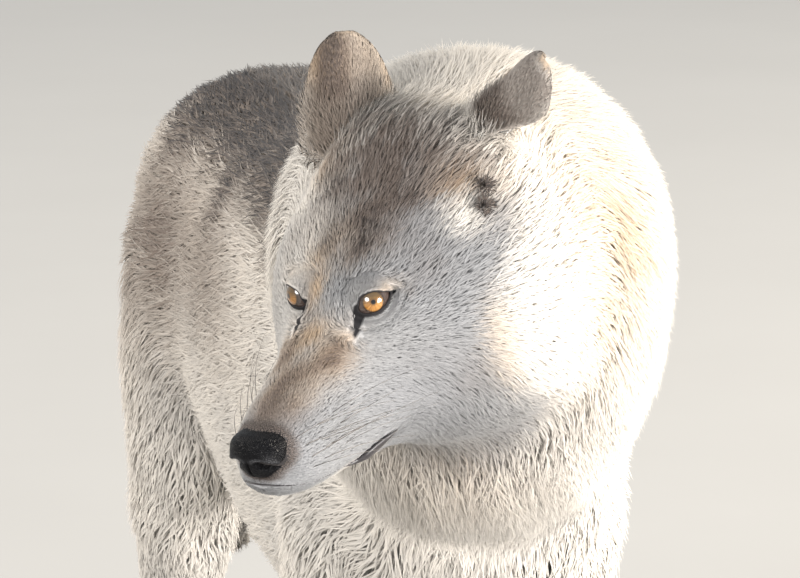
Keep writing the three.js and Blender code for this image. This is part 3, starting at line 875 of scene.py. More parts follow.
# Nose leather: a rounded block in the head's frame, wider above than below.
noseLook = {
    "ahead": 102, "level": -57, "halfWidth": 21, "up": 15.0, "down": 16.5, "halfLength": 17,
    "square": 2.5, "rows": 96, "around": 160, "narrow": 0.26, "taper": (2.3, 1.7), "tall": (3.4, 2.3),
    "nostril": (11.0, -2.8), "holeReach": (6.2, 3.0), "holeDeep": 8, "holeTurn": 16,
    "rim": (1.5, 0.3), "rimOut": 0.45,
    "slit": ((11.0, 15, -5.0), (14.5, 12, -7.0), (18.0, 6, -6.4), (19.4, 1, -3.4), (19.8, -3, 1.5)),
    "slitReach": 2.0, "slitDeep": 3.6, "tilt": 1.2,
    "wing": (14.5, 12.0, 0.5), "wingReach": 4.2, "wingOut": 1.4,
    "groove": 0.9, "grooveDeep": 1.6,
    "skinReach": (1.0, 1.3),
    "hairReach": (1.0, 1.42),
    # The lighter colour on the nostril rims and the wing is partly worn leather and partly a painted highlight.
    "black": (0.0015, 0.0015, 0.002, 1), "sheen": (0.005, 0.005, 0.006, 1), "wornAndHighlight": (0.10, 0.10, 0.105, 1),
    # Darker colours in the creases between pebbles and in the nostrils, slit and groove are painted shade.
    "creaseShade": (0.002, 0.002, 0.0025, 1), "deep": (0.002, 0.002, 0.002, 1),
}


# Under 1 inside the nose leather, over 1 outside it.
def noseReach(points):
    look = noseLook
    place = toHead(points)
    t = np.clip((-place[:, 1] - look["ahead"]) / look["halfLength"], -1, 1)
    high = place[:, 2] - look["level"] - look["tilt"] * t
    z = np.abs(high) / np.where(high > 0, look["up"], look["down"]) / np.maximum(noseTaper(t, "tall"), 0.05)
    x = np.abs(place[:, 0]) / look["halfWidth"] / (1 - look["narrow"] * ramp(-high, 0, look["down"]))
    x /= np.maximum(noseTaper(t, "taper"), 0.05)
    far = np.abs(-place[:, 1] - look["ahead"]) / look["halfLength"]
    return np.where(far > 1, 2 + far, (x ** look["square"] + z ** look["square"]) ** (1 / look["square"]))


# Share of the full width or height of the nose by its place along it, from -1 to 1.
def noseTaper(t, kind):
    first, second = noseLook[kind]
    return np.maximum(0.015, (1 - np.abs(t) ** first) ** (1 / second))


# ---- marks of the coat ----

# Each mark: its tint, its middle, its reach each way, how strong it is, and how strong on the mirrored side.
coatMarks = {
    "head": (  # places in the head's frame: x, ahead of the eyes, level
        ("brown", (0, -112, 70), (52, 34, 28), 0.86, 0),
        ("brown", (14, -33, 31), (13, 13, 12), 0.6, 0.3),
        ("dark", (14, -33, 32), (9, 10, 12), 0.45, 0.3),
        ("brown", (56, -42, 15), (20, 18, 16), 0.26, 1),
        ("tan", (53, -90, 50), (14, 16, 12), 0.5, 1),
        ("brown", (60, -110, 54), (14, 14, 12), 0.5, 1),
        # painted shade where the cheek's fur parts from the ruff
        ("brown", (79, -36, -72), (14, 13, 22), 0.26, 1),
        # painted shade: a faint grey over the cheeks
        ("brown", (66, -15, -30), (34, 24, 34), 0.06, 1),
        ("brown", (0, -76, 55), (40, 30, 22), 0.80, 0),
        ("brown", (12, -48, 40), (22, 20, 18), 0.7, 0),
        ("brown", (2, -24, 24), (15, 11, 12), 0.36, 0),
        ("brown", (-40, -50, 36), (16, 26, 20), 0.22, 0),
        # painted shade: a tan band at the cheek's edge, where the face's shade meets the ruff
        ("tan", (94, -55, -56), (9, 14, 34), 0.4, 0),
        ("brown", (30, -66, 44), (13, 12, 14), 0.5, 1),
        ("brown", (47, -90, 52), (13, 14, 14), 0.6, 1),
        ("dark", (14, -42, 38), (10, 11, 12), 0.8, 0.4),
        ("dark", (30, -66, 46), (11, 10, 12), 0.55, 1),
        ("dark", (14, -24, 27), (7, 8, 10), 0.6, 1),
        ("dark", (14, -7, 13), (3, 5, 6), 0.7, 1),
        ("dark", (0, -92, 66), (44, 44, 24), 0.3, 0),
        ("tan", (0, -34, 30), (26, 22, 18), 0.4, 0),
        ("tan", (-11, 2, 6), (8, 18, 12), 0.62, 0),
        ("tan", (-18, -16, 18), (10, 14, 12), 0.45, 0),
        ("tan", (0, 26, -12), (14, 16, 12), 0.55, 0),
        ("tan", (20, 31, -22), (10, 16, 12), 0.75, 1),
        ("brown", (20, 33, -22), (11, 19, 12), 0.9, 1),
        ("dark", (15, 24, -15), (3.5, 4.5, 5), 0.9, 1),
        ("tan", (0, 66, -30), (20, 40, 12), 0.75, 0),
        ("brown", (0, 60, -27), (15, 24, 10), 0.78, 0),
        ("brown", (0, 86, -36), (19, 20, 12), 0.9, 0),
        ("dark", (3.5, 71, -31), (3, 12, 5), 0.5, 0),
        ("tan", (44, -10, 4), (16, 10, 5), 0.35, 1),
        ("tan", (62, -100, 46), (30, 24, 24), 0.3, 1),
    ),
    "body": (  # places in the wolf's frame
        ("tan", (20, -500, 800), (70, 90, 60), 0.36, 0),
        # brown over the back and flanks: partly the coat's own colour, partly painted shade on the flanks
        ("brown", (0, 250, 620), (160, 130, 75), 0.75, 0),
        ("brown", (0, 100, 670), (160, 150, 60), 0.3, 0),
        ("tan", (40, -560, 745), (50, 60, 80), 0.55, 0),
        # brown on each flank: partly its own colour, partly painted shade
        ("brown", (-125, 20, 620), (50, 110, 60), 0.6, 1),
        ("brown", (-121, 240, 590), (50, 100, 90), 0.5, 1),
        ("dark", (80, -440, 790), (50, 90, 60), 0.16, 0),
        ("tan", (-60, -500, 590), (60, 60, 60), 0.22, 0),
        ("tan", (0, 120, 640), (160, 260, 80), 0.40, 0),
        ("tan", (0, 330, 560), (150, 110, 120), 0.22, 0),
        ("tan", (0, 480, 560), (80, 60, 120), 0.30, 0),
        ("dark", (0, 500, 300), (60, 60, 50), 0.75, 0),
    ),
}
saddle = {"low": 668, "high": 722, "front": (-370, -180), "rear": (430, 520), "dark": 0.95, "brown": 0.92,
          "tan": 0.35}
# Pale patch below each ear, and two black tufts beside the left patch: places in the head's frame.
notch = {"pale": (67, -77, 29), "paleReach": (12, 14, 13), "tufts": ((72, -97, 40), (75.5, -88, 30)), "reach": 9.5,
         "faces": (0.75, 0.5, 0.45), "deep": 9, "hairs": 230, "width": 0.85}
# The grey share: a little everywhere, varying at random, and most over the face, where it paints the face's shade;
# the chin is left out, and the face's right side takes less, which paints light there.
faceShadeAndGrey = {"rear": (-140, -90), "aside": (84, 104), "chinAhead": (10, 30), "chinLevel": (-100, -88),
             "rightSide": 0.55, "ground": 0.10, "vary": 0.14, "much": 0.85}
tints = ("tan", "brown", "dark")


def spot(place, middle, reach, much=1.0, flip=1):
    away = (place - np.array(middle) * [flip, 1, 1]) / np.array(reach)
    return much * np.exp(-(away**2).sum(1))


def addMarks(total, marks, place, share):
    for tint, middle, reach, much, mirrored in marks:
        value = spot(place, middle, reach, much) + mirrored * spot(place, middle, reach, much, -1)
        total[tint] += value * share


# Shares of tan, brown, dark ends and grey white at points of the wolf; the grey laid over the face is painted shade.
def marksAt(points, shares):
    place = toHead(points) * [1, -1, 1]
    rough = ripple(points, 26, 3) * 0.25 + ripple(points, 9, 4) * 0.15
    total = {tint: np.zeros(len(points)) for tint in tints}
    head = shares[:, headRegion] + shares[:, neckRegion]
    addMarks(total, coatMarks["head"], place, np.clip(head * 1.5, 0, 1))
    addMarks(total, coatMarks["body"], points, 1)
    back = ramp(points[:, 2] + 14 * ripple(points, 90, 5), saddle["low"], saddle["high"])
    front = points[:, 1] + 26 * ripple(points, 60, 7) + 0.25 * (760 - points[:, 2])
    back *= ramp(front, *saddle["front"]) * (1 - ramp(points[:, 1], *saddle["rear"]))
    for tint in tints:
        total[tint] += saddle[tint] * back
    pale = [spot(place, notch["pale"], notch["paleReach"], 1.0, flip) for flip in (1, -1)]
    pale = np.clip(sum(pale), 0, 1)
    for tint in tints:
        total[tint] = np.clip(total[tint] * (1 + rough) * (1 - 0.95 * pale), 0, 1)
    look = faceShadeAndGrey
    face = shares[:, headRegion] * ramp(place[:, 1], *look["rear"])
    face = face * (1 - ramp(np.abs(place[:, 0]), *look["aside"]))
    face *= 1 - ramp(place[:, 1], *look["chinAhead"]) * (1 - ramp(place[:, 2], *look["chinLevel"]))
    # Painted light: the right side of the face takes less of the grey shade.
    face *= 1 - look["rightSide"] * ramp(-place[:, 0], 14, 30)
    white = look["ground"] + look["vary"] * ripple(points, 160, 6) + look["much"] * face
    white = np.clip(white - 0.6 * total["tan"] - pale, 0, 1)
    return np.stack([total["tan"], total["brown"], total["dark"], white], 1)


# ---- lie of the coat ----

neckPath = [(-106, -560, 768), (-87, -534, 766), (-64, -499, 757), (-38, -450, 734), (-16, -385, 700),
            (-3, -300, 662), (0, -215, 630)]
tailPath = [(0, 392, 668), (0, 440, 652), (0, 482, 604), (0, 503, 530), (0, 508, 448), (0, 500, 366), (0, 485, 272)]
foreLegPath = [(44, -282, 672), (66, -276, 590), (75, -262, 505), (79, -244, 420), (79, -246, 335),
               (78, -254, 250), (76, -262, 112), (76, -266, 62)]
hindLegPath = [(40, 270, 660), (74, 288, 585), (82, 290, 500), (85, 284, 415), (82, 310, 335), (78, 358, 262),
               (76, 386, 198), (75, 376, 130), (74, 362, 66)]


def alongPath(points, path, reach, mirror=False):
    path = np.array(path, float)
    ways = unit(np.gradient(path, axis=0))
    own = points
    if mirror:
        own = np.stack([np.abs(points[:, 0]), points[:, 1], points[:, 2]], 1)
    gap = ((own[:, None] - path[None]) ** 2).sum(2)
    near = np.exp(-(gap - gap.min(1, keepdims=True)) / reach**2)
    way = near @ ways / near.sum(1, keepdims=True)
    if mirror:
        way[:, 0] *= np.sign(points[:, 0])
    return unit(way)


def lieOnHead(points, normals):
    place = toHead(points)
    x, ahead, level = place[:, 0], -place[:, 1], place[:, 2]
    out = x / (np.abs(x) + 12)
    up = (normals @ headTurn)[:, 2]
    way = np.zeros_like(points)
    way[:, 1] = 1.0
    forehead = ramp(ahead, -95, -25) * (1 - ramp(ahead, 0, 30)) * np.clip(up, 0, 1)
    way[:, 0] += 0.45 * out * forehead
    way[:, 2] += 0.3 * forehead
    low = ramp(-level, 0, 95)
    cheek = (1 - np.clip(up, 0, 1)) * (1 - ramp(ahead, 20, 60))
    way[:, 0] += 0.15 * out * cheek
    way[:, 2] -= (0.12 + 0.75 * low) * cheek
    crown = ramp(-ahead, 70, 120) * np.clip(up, 0, 1)
    way[:, 2] += 0.45 * crown
    for s in (1, -1):
        corner = np.array([s * 20, -13, -8])
        away = place - corner
        near = np.exp(-((np.linalg.norm(away, axis=1) / 26) ** 2))
        way += unit(away) * (1.3 * near)[:, None]
    for side in sides:
        u, v, deep = besideEye(points, side)
        gap, du, dv = fromSegment(u, v, lidLook["duct"])
        aside, over, _ = eyeAxes(side)
        near = 2.6 * np.exp(-((gap / 9) ** 2)) * (np.abs(deep - 8) < 22)
        way += (np.outer(du, aside) + np.outer(dv, over)) * near[:, None]
    gap = awayFromMouth(place)
    near = (1 - ramp(gap, 7, 20))[:, None]
    lip = np.stack([0.42 * out * ramp(-ahead, -60, -20), np.ones(len(place)), 0.22 * ramp(-ahead, -60, -20)], 1)
    way = unit(way) * (1 - near) + lip * near
    way[:, 0] += 0.12 * ripple(points, 60, 11)
    return unit(way) @ headTurn.T


def lieOfCoat(points, normals, shares):
    up, front = normals[:, 2], -normals[:, 1]
    side = 1 - np.abs(up)
    ways = {}
    neck = alongPath(points, neckPath, 70)
    facing = np.clip(-(normals * neck).sum(1) * 1.4, 0, 1)[:, None]
    neck = neck * (1 - 0.8 * facing)
    neck[:, 2] -= 0.42 * side + 0.9 * facing[:, 0] + 0.35 * np.clip(-up, 0, 1)
    ways["neck"] = neck
    trunk = np.zeros_like(points)
    trunk[:, 1] = 1 - 0.9 * ramp(front, 0.3, 0.8) - 0.8 * ramp(-front, 0.5, 0.9)
    trunk[:, 2] = -0.30 * side - 1.0 * ramp(front, 0.3, 0.8) - 0.8 * ramp(-front, 0.5, 0.9)
    ways["trunk"] = trunk
    ways["tail"] = alongPath(points, tailPath, 45)
    ways["head"] = lieOnHead(points, normals)
    fore = alongPath(points, foreLegPath, 60, mirror=True)
    hind = alongPath(points, hindLegPath, 60, mirror=True)
    ways["shoulder"] = fore + [0, 0.35, 0]
    ways["forearm"] = fore + [0, 0.12, 0]
    ways["thigh"] = hind + [0, 0.3, 0]
    ways["shank"] = hind
    paw = np.tile([0, -0.75, -0.5], (len(points), 1))
    ways["forepaw"] = ways["hindpaw"] = paw
    total = sum(ways[r] * shares[:, k : k + 1] for k, r in enumerate(regions))
    swirl = np.stack([ripple(points, 130, 21 + k) for k in range(3)], 1) * 0.14
    total = unit(total) + swirl * (1 - shares[:, headRegion])[:, None]
    return unit(total - normals * (total * normals).sum(1)[:, None])


# ---- everything the coat needs, at every point of skin and ears ----


# Distance to the line of the mouth, and how far ahead its nearest place is.
def nearMouth(points):
    place = toHead(points)
    near = np.linalg.norm(place - [0, -60, -85], axis=1) < 110
    gap, where = np.full(len(points), 99.0), np.full(len(points), 60.0)
    chosen = np.flatnonzero(near)
    away = np.linalg.norm(place[chosen][:, None] - mouthLine[None], axis=2)
    gap[chosen] = away.min(1)
    where[chosen] = -mouthLine[away.argmin(1), 1]
    return gap, where


# Tan, brown, dark and white shares over an ear, its edges lighter and golden as a painted backlit rim; beside is -1
# at its inner edge and 1 at its outer edge.
def earMarks(side, points, rise, axis, facing, inner):
    look, sign = earLook[side], 1 if side == "left" else -1
    root = fromHead(np.array(ears[side]["root"], float)[None])
    beside = (points - root) @ across(axis, facing) / earLook["halfWidth"]
    if (across(axis, facing) @ headTurn)[0] * sign < 0:
        beside = -beside
    edge = ramp(np.abs(beside), 0.55, 0.95) + ramp(rise, 0.82, 0.97)
    low = 1 - ramp(rise, 0.15, 0.55)
    streak = np.exp(-(((beside - look["streakAt"]) / 0.33) ** 2)) * ramp(rise, 0.15, 0.45)
    streak *= 1 - ramp(rise, 0.84, 0.99)
    tan = look["tan"] * (0.5 + 0.5 * ramp(beside, -0.2, 0.3))
    # gold and the lighter edge paint the backlit rim of light around the ear
    gold = (1 - tan) * 0.7 * ramp(edge, 0.3, 1.0) * (rise > 0.3)
    marks = np.zeros((len(points), 4))
    marks[:, 0] = tan * (1 - 0.6 * low) * (1 - 0.4 * edge) + gold
    marks[:, 1] = look["brown"] * (1 - 0.85 * edge) + look["streak"] * streak + 0.35 * low
    marks[:, 2] = look["dark"] * (1 - edge) + 0.4 * look["streak"] * streak
    start, slope = look["fluff"]
    fluff = ramp(start + slope * np.maximum(beside, -0.3) - rise, -0.06, 0.1)
    marks[:, :3] *= (1 - 0.75 * inner)[:, None] * (1 - 0.95 * fluff)[:, None]
    marks[:, 3] = 0.3 + 0.5 * inner
    return np.clip(marks, 0, 1), fluff


def alongSurface(ways, normals):
    return unit(ways - normals * (ways * normals).sum(1)[:, None])


def headShares(count):
    shares = np.zeros((count, len(regions)))
    shares[:, headRegion] = 1
    return shares


def skinGround():
    points, corners, edges = meshArrays(skinMesh)
    points = toWolf(points)
    normals = normalsOf(points, corners)
    shares = regionShares(points, edges)
    own = {
        "points": points,
        "corners": corners,
        "normals": normals,
        "lie": smoothed(lieOfCoat(points, normals, shares), edges, 3),
        "shares": shares,
        "bare": 1 - ramp(points[:, 2], 2, 7),
        "grow": ramp(points[:, 2], 3, 8),
        "ear": np.zeros(len(points)),
    }
    for name in ("depth", "length", "width", "cover"):
        own[name] = smoothed(coatValue(name, points, normals, shares), edges, 3)
    place = toHead(points)
    for side in sides:
        root, tip = (np.array(ears[side][k], float) for k in ("root", "tip"))
        near = np.exp(-((np.linalg.norm(place - root, axis=1) / earFringe["reach"]) ** 2))
        near *= shares[:, headRegion]
        axis = unit(tip - root) @ headTurn.T
        own["lie"] = alongSurface(own["lie"] * (1 - near)[:, None] + axis * near[:, None] * 1.6, normals)
        for name in ("depth", "length", "cover"):
            own[name] += (earFringe[name] - own[name]) * np.clip(1.3 * near, 0, 1)
    run = np.sqrt(np.maximum(own["length"] ** 2 - own["depth"] ** 2, 0))
    tips = points + own["lie"] * (0.7 * run)[:, None] + normals * (0.8 * own["depth"])[:, None]
    own["marks"] = marksAt(tips, shares)  # the colour that the tips carry
    for side in sides:
        u, v, deep = besideEye(points, side)
        close = np.abs(deep - 8) < 18
        own["grow"] *= np.where(close & (beyondOpening(u, v) < 10), 0, 1) * (1 - close * lidBare(u, v, 1.5))
        own["bare"] = np.maximum(own["bare"], close * lidBare(u, v, 1.2))
    gap, where = nearMouth(points)
    half = np.interp(where, *np.array(lipLook["half"]).T)
    own["grow"] *= ramp(gap, half * 0.95, half + 1.3)
    nose = noseReach(points)
    own["grow"] *= nose > 1.0
    own["bare"] = np.maximum(own["bare"], 0.92 * (1 - ramp(nose, *noseLook["skinReach"])))
    close = 1 - ramp(nose, *noseLook["hairReach"])
    own["marks"][:, 1] = np.maximum(own["marks"][:, 1], close)
    own["marks"][:, 2] = np.maximum(own["marks"][:, 2], 0.95 * close**1.4)
    for name, value in noseHair.items():
        own[name] += (np.minimum(value, own[name]) - own[name]) * np.clip(1.5 * close, 0, 1)
    return own


def lidGround(side):
    points, faces, bare = lidMesh(side)
    count, normals = len(points), normalsOf(points, faces)
    shares = headShares(count)
    u, v, _ = besideEye(points, side)
    return {
        "points": points, "corners": faces, "normals": normals, "shares": shares, "bare": bare,
        "lie": alongSurface(lieOnHead(points, normals), normals), "marks": marksAt(points, shares),
        "grow": 1 - lidBare(u, v, 0.2), "ear": np.zeros(count),
        **{name: np.full(count, value) for name, value in lidHair.items()},
    }


def earGround(side):
    points, faces, axis, facing = earMesh(side)
    count, normals = len(points), normalsOf(points, faces)
    place = toHead(points)
    root, tip = np.array(ears[side]["root"]), np.array(ears[side]["tip"])
    rise = ((place - root) @ (tip - root)) / ((tip - root) @ (tip - root))
    inner = np.clip((normals @ facing) * 1.6, 0, 1)
    way = np.tile(axis, (count, 1)) + 0.25 * facing * (1 - rise)[:, None]
    marks, fluff = earMarks(side, points, rise, axis, facing, inner)
    return {
        "points": points, "corners": faces, "normals": normals, "lie": alongSurface(way, normals), "marks": marks,
        "shares": headShares(count), "bare": np.zeros(count), "grow": np.ones(count), "ear": np.ones(count),
        "depth": 1.4 + 7 * (1 - ramp(rise, 0.05, 0.4)) + 5 * fluff,
        "length": 14 - 6 * np.clip(rise, 0, 1) + 14 * fluff,
        **{name: np.full(count, value) for name, value in earHair.items()},
    }


# Hair around the nose, on the lids and on the ears, in millimetres.
noseHair = {"length": 3.2, "width": 0.5, "depth": 0.9}
lidHair = {"depth": 1.7, "length": 5.5, "width": 0.7, "cover": 4.0}
earHair = {"width": 0.85, "cover": 4.0}


def coatGround():
    parts = [skinGround()] + [lidGround(side) for side in sides] + [earGround(side) for side in sides]
    start = 0
    for part in parts:
        part["corners"] = part["corners"] + start
        start += len(part["points"])
    return {name: np.concatenate([part[name] for part in parts]) for name in parts[0]}


ground = coatGround()
groundTree = treeOf(ground["points"], ground["corners"])
print("ground of the coat:", len(ground["points"]), "points")


# ---- unwrap of the skin, which places each lock's patch ----

unwrapFaces = 9000


def makeUnwrap():
    mesh = bpy.data.meshes.new("flat")
    mesh.from_pydata(toRow(ground["points"]).tolist(), [], ground["corners"].tolist())
    flat = modified(mesh, "DECIMATE", ratio=min(1, unwrapFaces / len(ground["corners"])))
    made = bpy.data.objects.new("flat", flat)
    bpy.context.scene.collection.objects.link(made)
    bpy.context.view_layer.objects.active = made
    for other in bpy.context.scene.objects:
        other.select_set(other == made)
    bpy.ops.object.mode_set(mode="EDIT")
    bpy.ops.mesh.select_all(action="SELECT")
    bpy.ops.uv.smart_project(angle_limit=1.2, island_margin=0.004)
    bpy.ops.object.mode_set(mode="OBJECT")
    points, corners, _ = meshArrays(flat)
    loops = np.empty(len(flat.loop_triangles) * 3, np.int32)
    flat.loop_triangles.foreach_get("loops", loops)
    spots = np.empty(len(flat.loops) * 2, np.float32)
    flat.uv_layers.active.data.foreach_get("uv", spots)
    spots = spots.reshape(-1, 2)[loops].reshape(-1, 3, 2)
    bpy.data.objects.remove(made)
    bpy.data.meshes.remove(flat)
    return {"points": toWolf(points), "corners": corners, "spots": spots}


unwrap = makeUnwrap()
unwrapTree = treeOf(unwrap["points"], unwrap["corners"])
print("skin unwrapped")


def spotsOf(places):
    index, _, shares = nearestOn(unwrapTree, unwrap["points"], unwrap["corners"], places)
    return (unwrap["spots"][index] * shares[:, :, None]).sum(1)


# ---- the coat: closed locks of hair, each a flat blade with a ridge ----

lockShape = {
    "sunk": 1.0,  # how far the root stands under the skin
    "ridge": 0.28,  # height of the ridge as a share of the width
    "rise": 0.66,  # height at the middle as a share of the height at the tip
    "floor": 0.4,  # the lowest a lock reaches
    "patch": 0.003,
}
triangleLimit = 190000
growth = {
    "overlap": 0.6,  # share of a lock's length and width that covers
    "length": (0.65, 1.15), "width": (0.7, 1.3),  # shares of the region's own
    "vary": 5.5, "mostVary": 0.44, "top": 1.05,  # how much the heights differ
    "stray": 0.1,  # share of locks that stand higher, and how much
    "quickShare": 0.3, "quickWidth": 1.8,
}
wisps = {"locks": 14, "reach": 30, "middlePull": 0.35, "keep": 0.15}


# One lock is a root, one three-cornered section and a tip.
lockFaces = np.array([(0, 2, 1), (0, 3, 2), (0, 1, 3), (1, 2, 4), (2, 3, 4), (3, 1, 4)])
lockAlong = np.array([0.0, 0.45, 0.45, 0.45, 1.0])
lockAcross = np.array([0.5, 0.0, 1.0, 0.5, 0.5])


def chooseRoots(chosen, density):
    points, corners = ground["points"], ground["corners"][chosen]
    a, b, c = (points[corners[:, k]] for k in range(3))
    area = np.linalg.norm(np.cross(b - a, c - a), axis=1) / 2
    weight = area * density[corners].mean(1)
    count = int(weight.sum() * (1))
    if not count:
        return np.zeros(0, int), np.zeros((0, 3)), 0
    steps = np.cumsum(weight) / weight.sum()
    picks = np.searchsorted(steps, (np.arange(count) + chance.random(count)) / count)
    picks = np.minimum(picks, len(steps) - 1)
    s, t = chance.random(count), chance.random(count)
    over = s + t > 1
    s[over], t[over] = 1 - s[over], 1 - t[over]
    return chosen[picks], np.stack([1 - s - t, s, t], 1), area.sum()


def growLocks(name, chosen, clump=0.0, ragged=0.25):
    density = ground["cover"] / (ground["width"] * ground["length"] * growth["overlap"]) * ground["grow"]
    index, shares, area = chooseRoots(chosen, density)
    if not len(index):
        return []
    corners = ground["corners"]

    def at(field, where=index, part=shares):
        return valueAt(ground[field], corners, where, part)

    root, normal, lie = at("points"), unit(at("normals")), unit(at("lie"))
    count = len(root)
    length = at("length") * chance.uniform(*growth["length"], count)
    depth = at("depth")
    vary = np.minimum(growth["mostVary"], growth["vary"] / depth) * chance.random(count)
    height = depth * (growth["top"] - vary + growth["stray"] * (chance.random(count) > 1 - growth["stray"]))
    width = at("width") * chance.uniform(*growth["width"], count)
    sway = across(normal, lie) * (ragged * chance.normal(size=count))[:, None]
    first = unit(lie + sway)
    run = np.sqrt(np.maximum(length**2 - height**2, (0.5 * length) ** 2))
    midIndex, mid, midShares = nearestOn(groundTree, ground["points"], corners, root + first * (0.5 * run)[:, None])
    midNormal = unit(at("normals", midIndex, midShares))
    second = unit(unit(at("lie", midIndex, midShares)) + sway * 1.3)
    endIndex, end, endShares = nearestOn(groundTree, ground["points"], corners, mid + second * (0.5 * run)[:, None])
    endNormal = unit(at("normals", endIndex, endShares))
    tip = end + endNormal * height[:, None]
    middle = mid + midNormal * (height * lockShape["rise"])[:, None]
    if clump:
        tip, middle = gathered(tip, middle, width, clump)
    start = root - normal * lockShape["sunk"]
    print(name, "covers", round(area / 100), "cm2")
    return buildLocks(name, start, middle, tip, width, normal, endNormal, at("marks"), root)


# Closed locks from their roots, middles, tips and widths, in pieces under the limit of triangles.
def buildLocks(name, start, middle, tip, width, normal, endNormal, marks, root):
    count = len(start)
    ahead = unit(tip - start)
    over = unit(normal + endNormal)
    beside = across(over, ahead)
    over = across(ahead, beside)
    half = (width / 2)[:, None]
    ridge = over * half * 2 * lockShape["ridge"]
    points = np.stack([start, middle - beside * half, middle + beside * half, middle + ridge, tip], 1)
    points[..., 2] = np.maximum(points[..., 2], lockShape["floor"])
    soft = unit(over * (1 - coatFinish["ground"]) + (normal + endNormal) * coatFinish["ground"] / 2)
    side = beside * coatFinish["lean"]
    lean = np.stack([normal, unit(soft - side), unit(soft + side), soft, endNormal], 1)
    size = len(lockAlong)
    marks = np.repeat(marks[:, None], size, 1)
    own = np.stack([
        np.broadcast_to(lockAlong, (count, size)),
        np.broadcast_to(lockAcross, (count, size)),
        np.broadcast_to(chance.random(count)[:, None], (count, size)),
    ], 2)
    spots = spotsOf(root)[:, None] + (own[:, :, :2] - 0.5) * lockShape["patch"]
    limit = triangleLimit // len(lockFaces)
    pieces = []
    parts = max(1, math.ceil(count / limit))
    order = np.argsort(root[:, 0], kind="stable") if parts > 1 else np.arange(count)
    for k, rowsOf in enumerate(np.array_split(order, parts)):
        label = name if parts == 1 else name + "_" + str(k + 1)
        faces = (lockFaces[None] + (np.arange(len(rowsOf)) * size)[:, None, None]).reshape(-1, 3)
        piece = newObject(label, points[rowsOf].reshape(-1, 3), faces, coatHair)
        setValues(piece.data, "marks", "FLOAT_COLOR", marks[rowsOf].reshape(-1, 4))
        setValues(piece.data, "lock", "FLOAT_VECTOR", own[rowsOf].reshape(-1, 3))
        layer = piece.data.uv_layers.new(name="OFBake")
        layer.data.foreach_set("uv", spots[rowsOf].reshape(-1, 2)[faces.ravel()].astype(np.float32).ravel())
        piece.data.normals_split_custom_set_from_vertices(lean[rowsOf].reshape(-1, 3).astype(np.float32))
        pieces.append(piece)
    print(name, count, "locks,", count * len(lockFaces), "triangles")
    return pieces


# Tips lean together in wisps.
def gathered(tip, middle, width, clump):
    count = len(tip)
    heads = chance.choice(count, max(1, count // wisps["locks"]), replace=False)
    tree = KDTree(len(heads))
    for k, h in enumerate(heads.tolist()):
        tree.insert(middle[h], k)
    tree.balance()
    own = np.array([tree.find(m)[1] for m in middle.tolist()])
    goalTip, goalMiddle = tip[heads[own]], middle[heads[own]]
    shift = goalMiddle + (tip - middle) * wisps["keep"] + (goalTip - goalMiddle) * (1 - wisps["keep"])
    away = np.linalg.norm(middle - goalMiddle, axis=1)
    pull = (clump * np.exp(-((away / wisps["reach"]) ** 2)))[:, None]
    part = wisps["middlePull"]
    return tip * (1 - pull) + shift * pull, middle * (1 - part * pull) + goalMiddle * part * pull


# Black tufts that radiate behind the pale patch below the left ear.
def growTufts():
    starts, tips, ways = [], [], []
    for at in notch["tufts"]:
        middle = fromHead(np.array(at) * [1, -1, 1])
        out = unit(np.array([1, -1, 1]) * notch["faces"]) @ headTurn.T
        spread = chance.normal(size=(notch["hairs"], 3))
        spread = unit(spread - np.outer(spread @ out, out)) * chance.uniform(0.15, 1, notch["hairs"])[:, None] ** 1.3
        starts.append(middle - out * notch["deep"] + spread * 2.0)
        tips.append(middle + spread * notch["reach"] + np.outer(chance.uniform(-1, 3, notch["hairs"]), out))
        ways.append(np.tile(out, (notch["hairs"], 1)))
    start, tip, out = (np.concatenate(v) for v in (starts, tips, ways))
    count = len(start)
    width = chance.uniform(0.8, 1.3, count) * notch["width"]
    marks = np.tile([0.2, 1.0, 1.0, 0.0], (count, 1))
    return buildLocks("coatTufts", start, start * 0.45 + tip * 0.55 + out, tip, width, out, out, marks, start)


def growCoat():
    corners = ground["corners"]
    shares = ground["shares"][corners].mean(1)
    place = toHead(ground["points"][corners].mean(1))
    main = np.argmax(shares, 1)
    isEar = ground["ear"][corners].mean(1) > 0.5
    ahead = -place[:, 1]

    def having(*names):
        return np.isin(main, [regions.index(n) for n in names]) & ~isEar

    groups = {
        "coatMuzzle": (having("head") & (ahead > 12), {"ragged": 0.16}),
        "coatFace": (having("head") & (ahead <= 12) & (ahead > -45), {"ragged": 0.18}),
        "coatCheeks": (having("head") & (ahead <= -45), {"ragged": 0.2, "clump": 0.15}),
        "mane": (having("neck"), {"ragged": 0.19, "clump": 0.15}),
        "coatTrunk": (having("trunk"), {"ragged": 0.24, "clump": 0.25}),
        "coatForelegs": (having("shoulder", "forearm", "forepaw"), {"ragged": 0.24, "clump": 0.15}),
        "coatHindlegs": (having("thigh", "shank", "hindpaw"), {"ragged": 0.24, "clump": 0.15}),
        "coatTail": (having("tail"), {"ragged": 0.25, "clump": 0.5}),
        "coatEars": (isEar, {"ragged": 0.12}),
    }
    pieces = []
    for name, (chosen, style) in groups.items():
        pieces += growLocks(name, np.flatnonzero(chosen), **style)
    return pieces + growTufts()


coatPieces = growCoat()


def makeSkinObject():
    made = newObject("skin", ground["points"], ground["corners"], skinFuzz)
    setValues(made.data, "marks", "FLOAT_COLOR", ground["marks"])
    setValues(made.data, "bare", "FLOAT", ground["bare"])
    return made


skin = makeSkinObject()
bpy.data.meshes.remove(skinMesh)

# ---- eyes ----

irisLook = {
    "radius": 7.3,
    "pupil": 1.5,
    "amber": (0.210, 0.087, 0.015, 1),
    "gold": (0.364, 0.175, 0.042, 1),
    "ring": (0.03, 0.018, 0.01, 1),
    "white": (0.055, 0.038, 0.032, 1),
    # shade: a painted shadow of the upper lid, over the upper half of the iris
    "shade": (0.05, 0.034, 0.014, 1),  # over the upper half, under the lid
    "black": (0.002, 0.002, 0.002, 1),
}


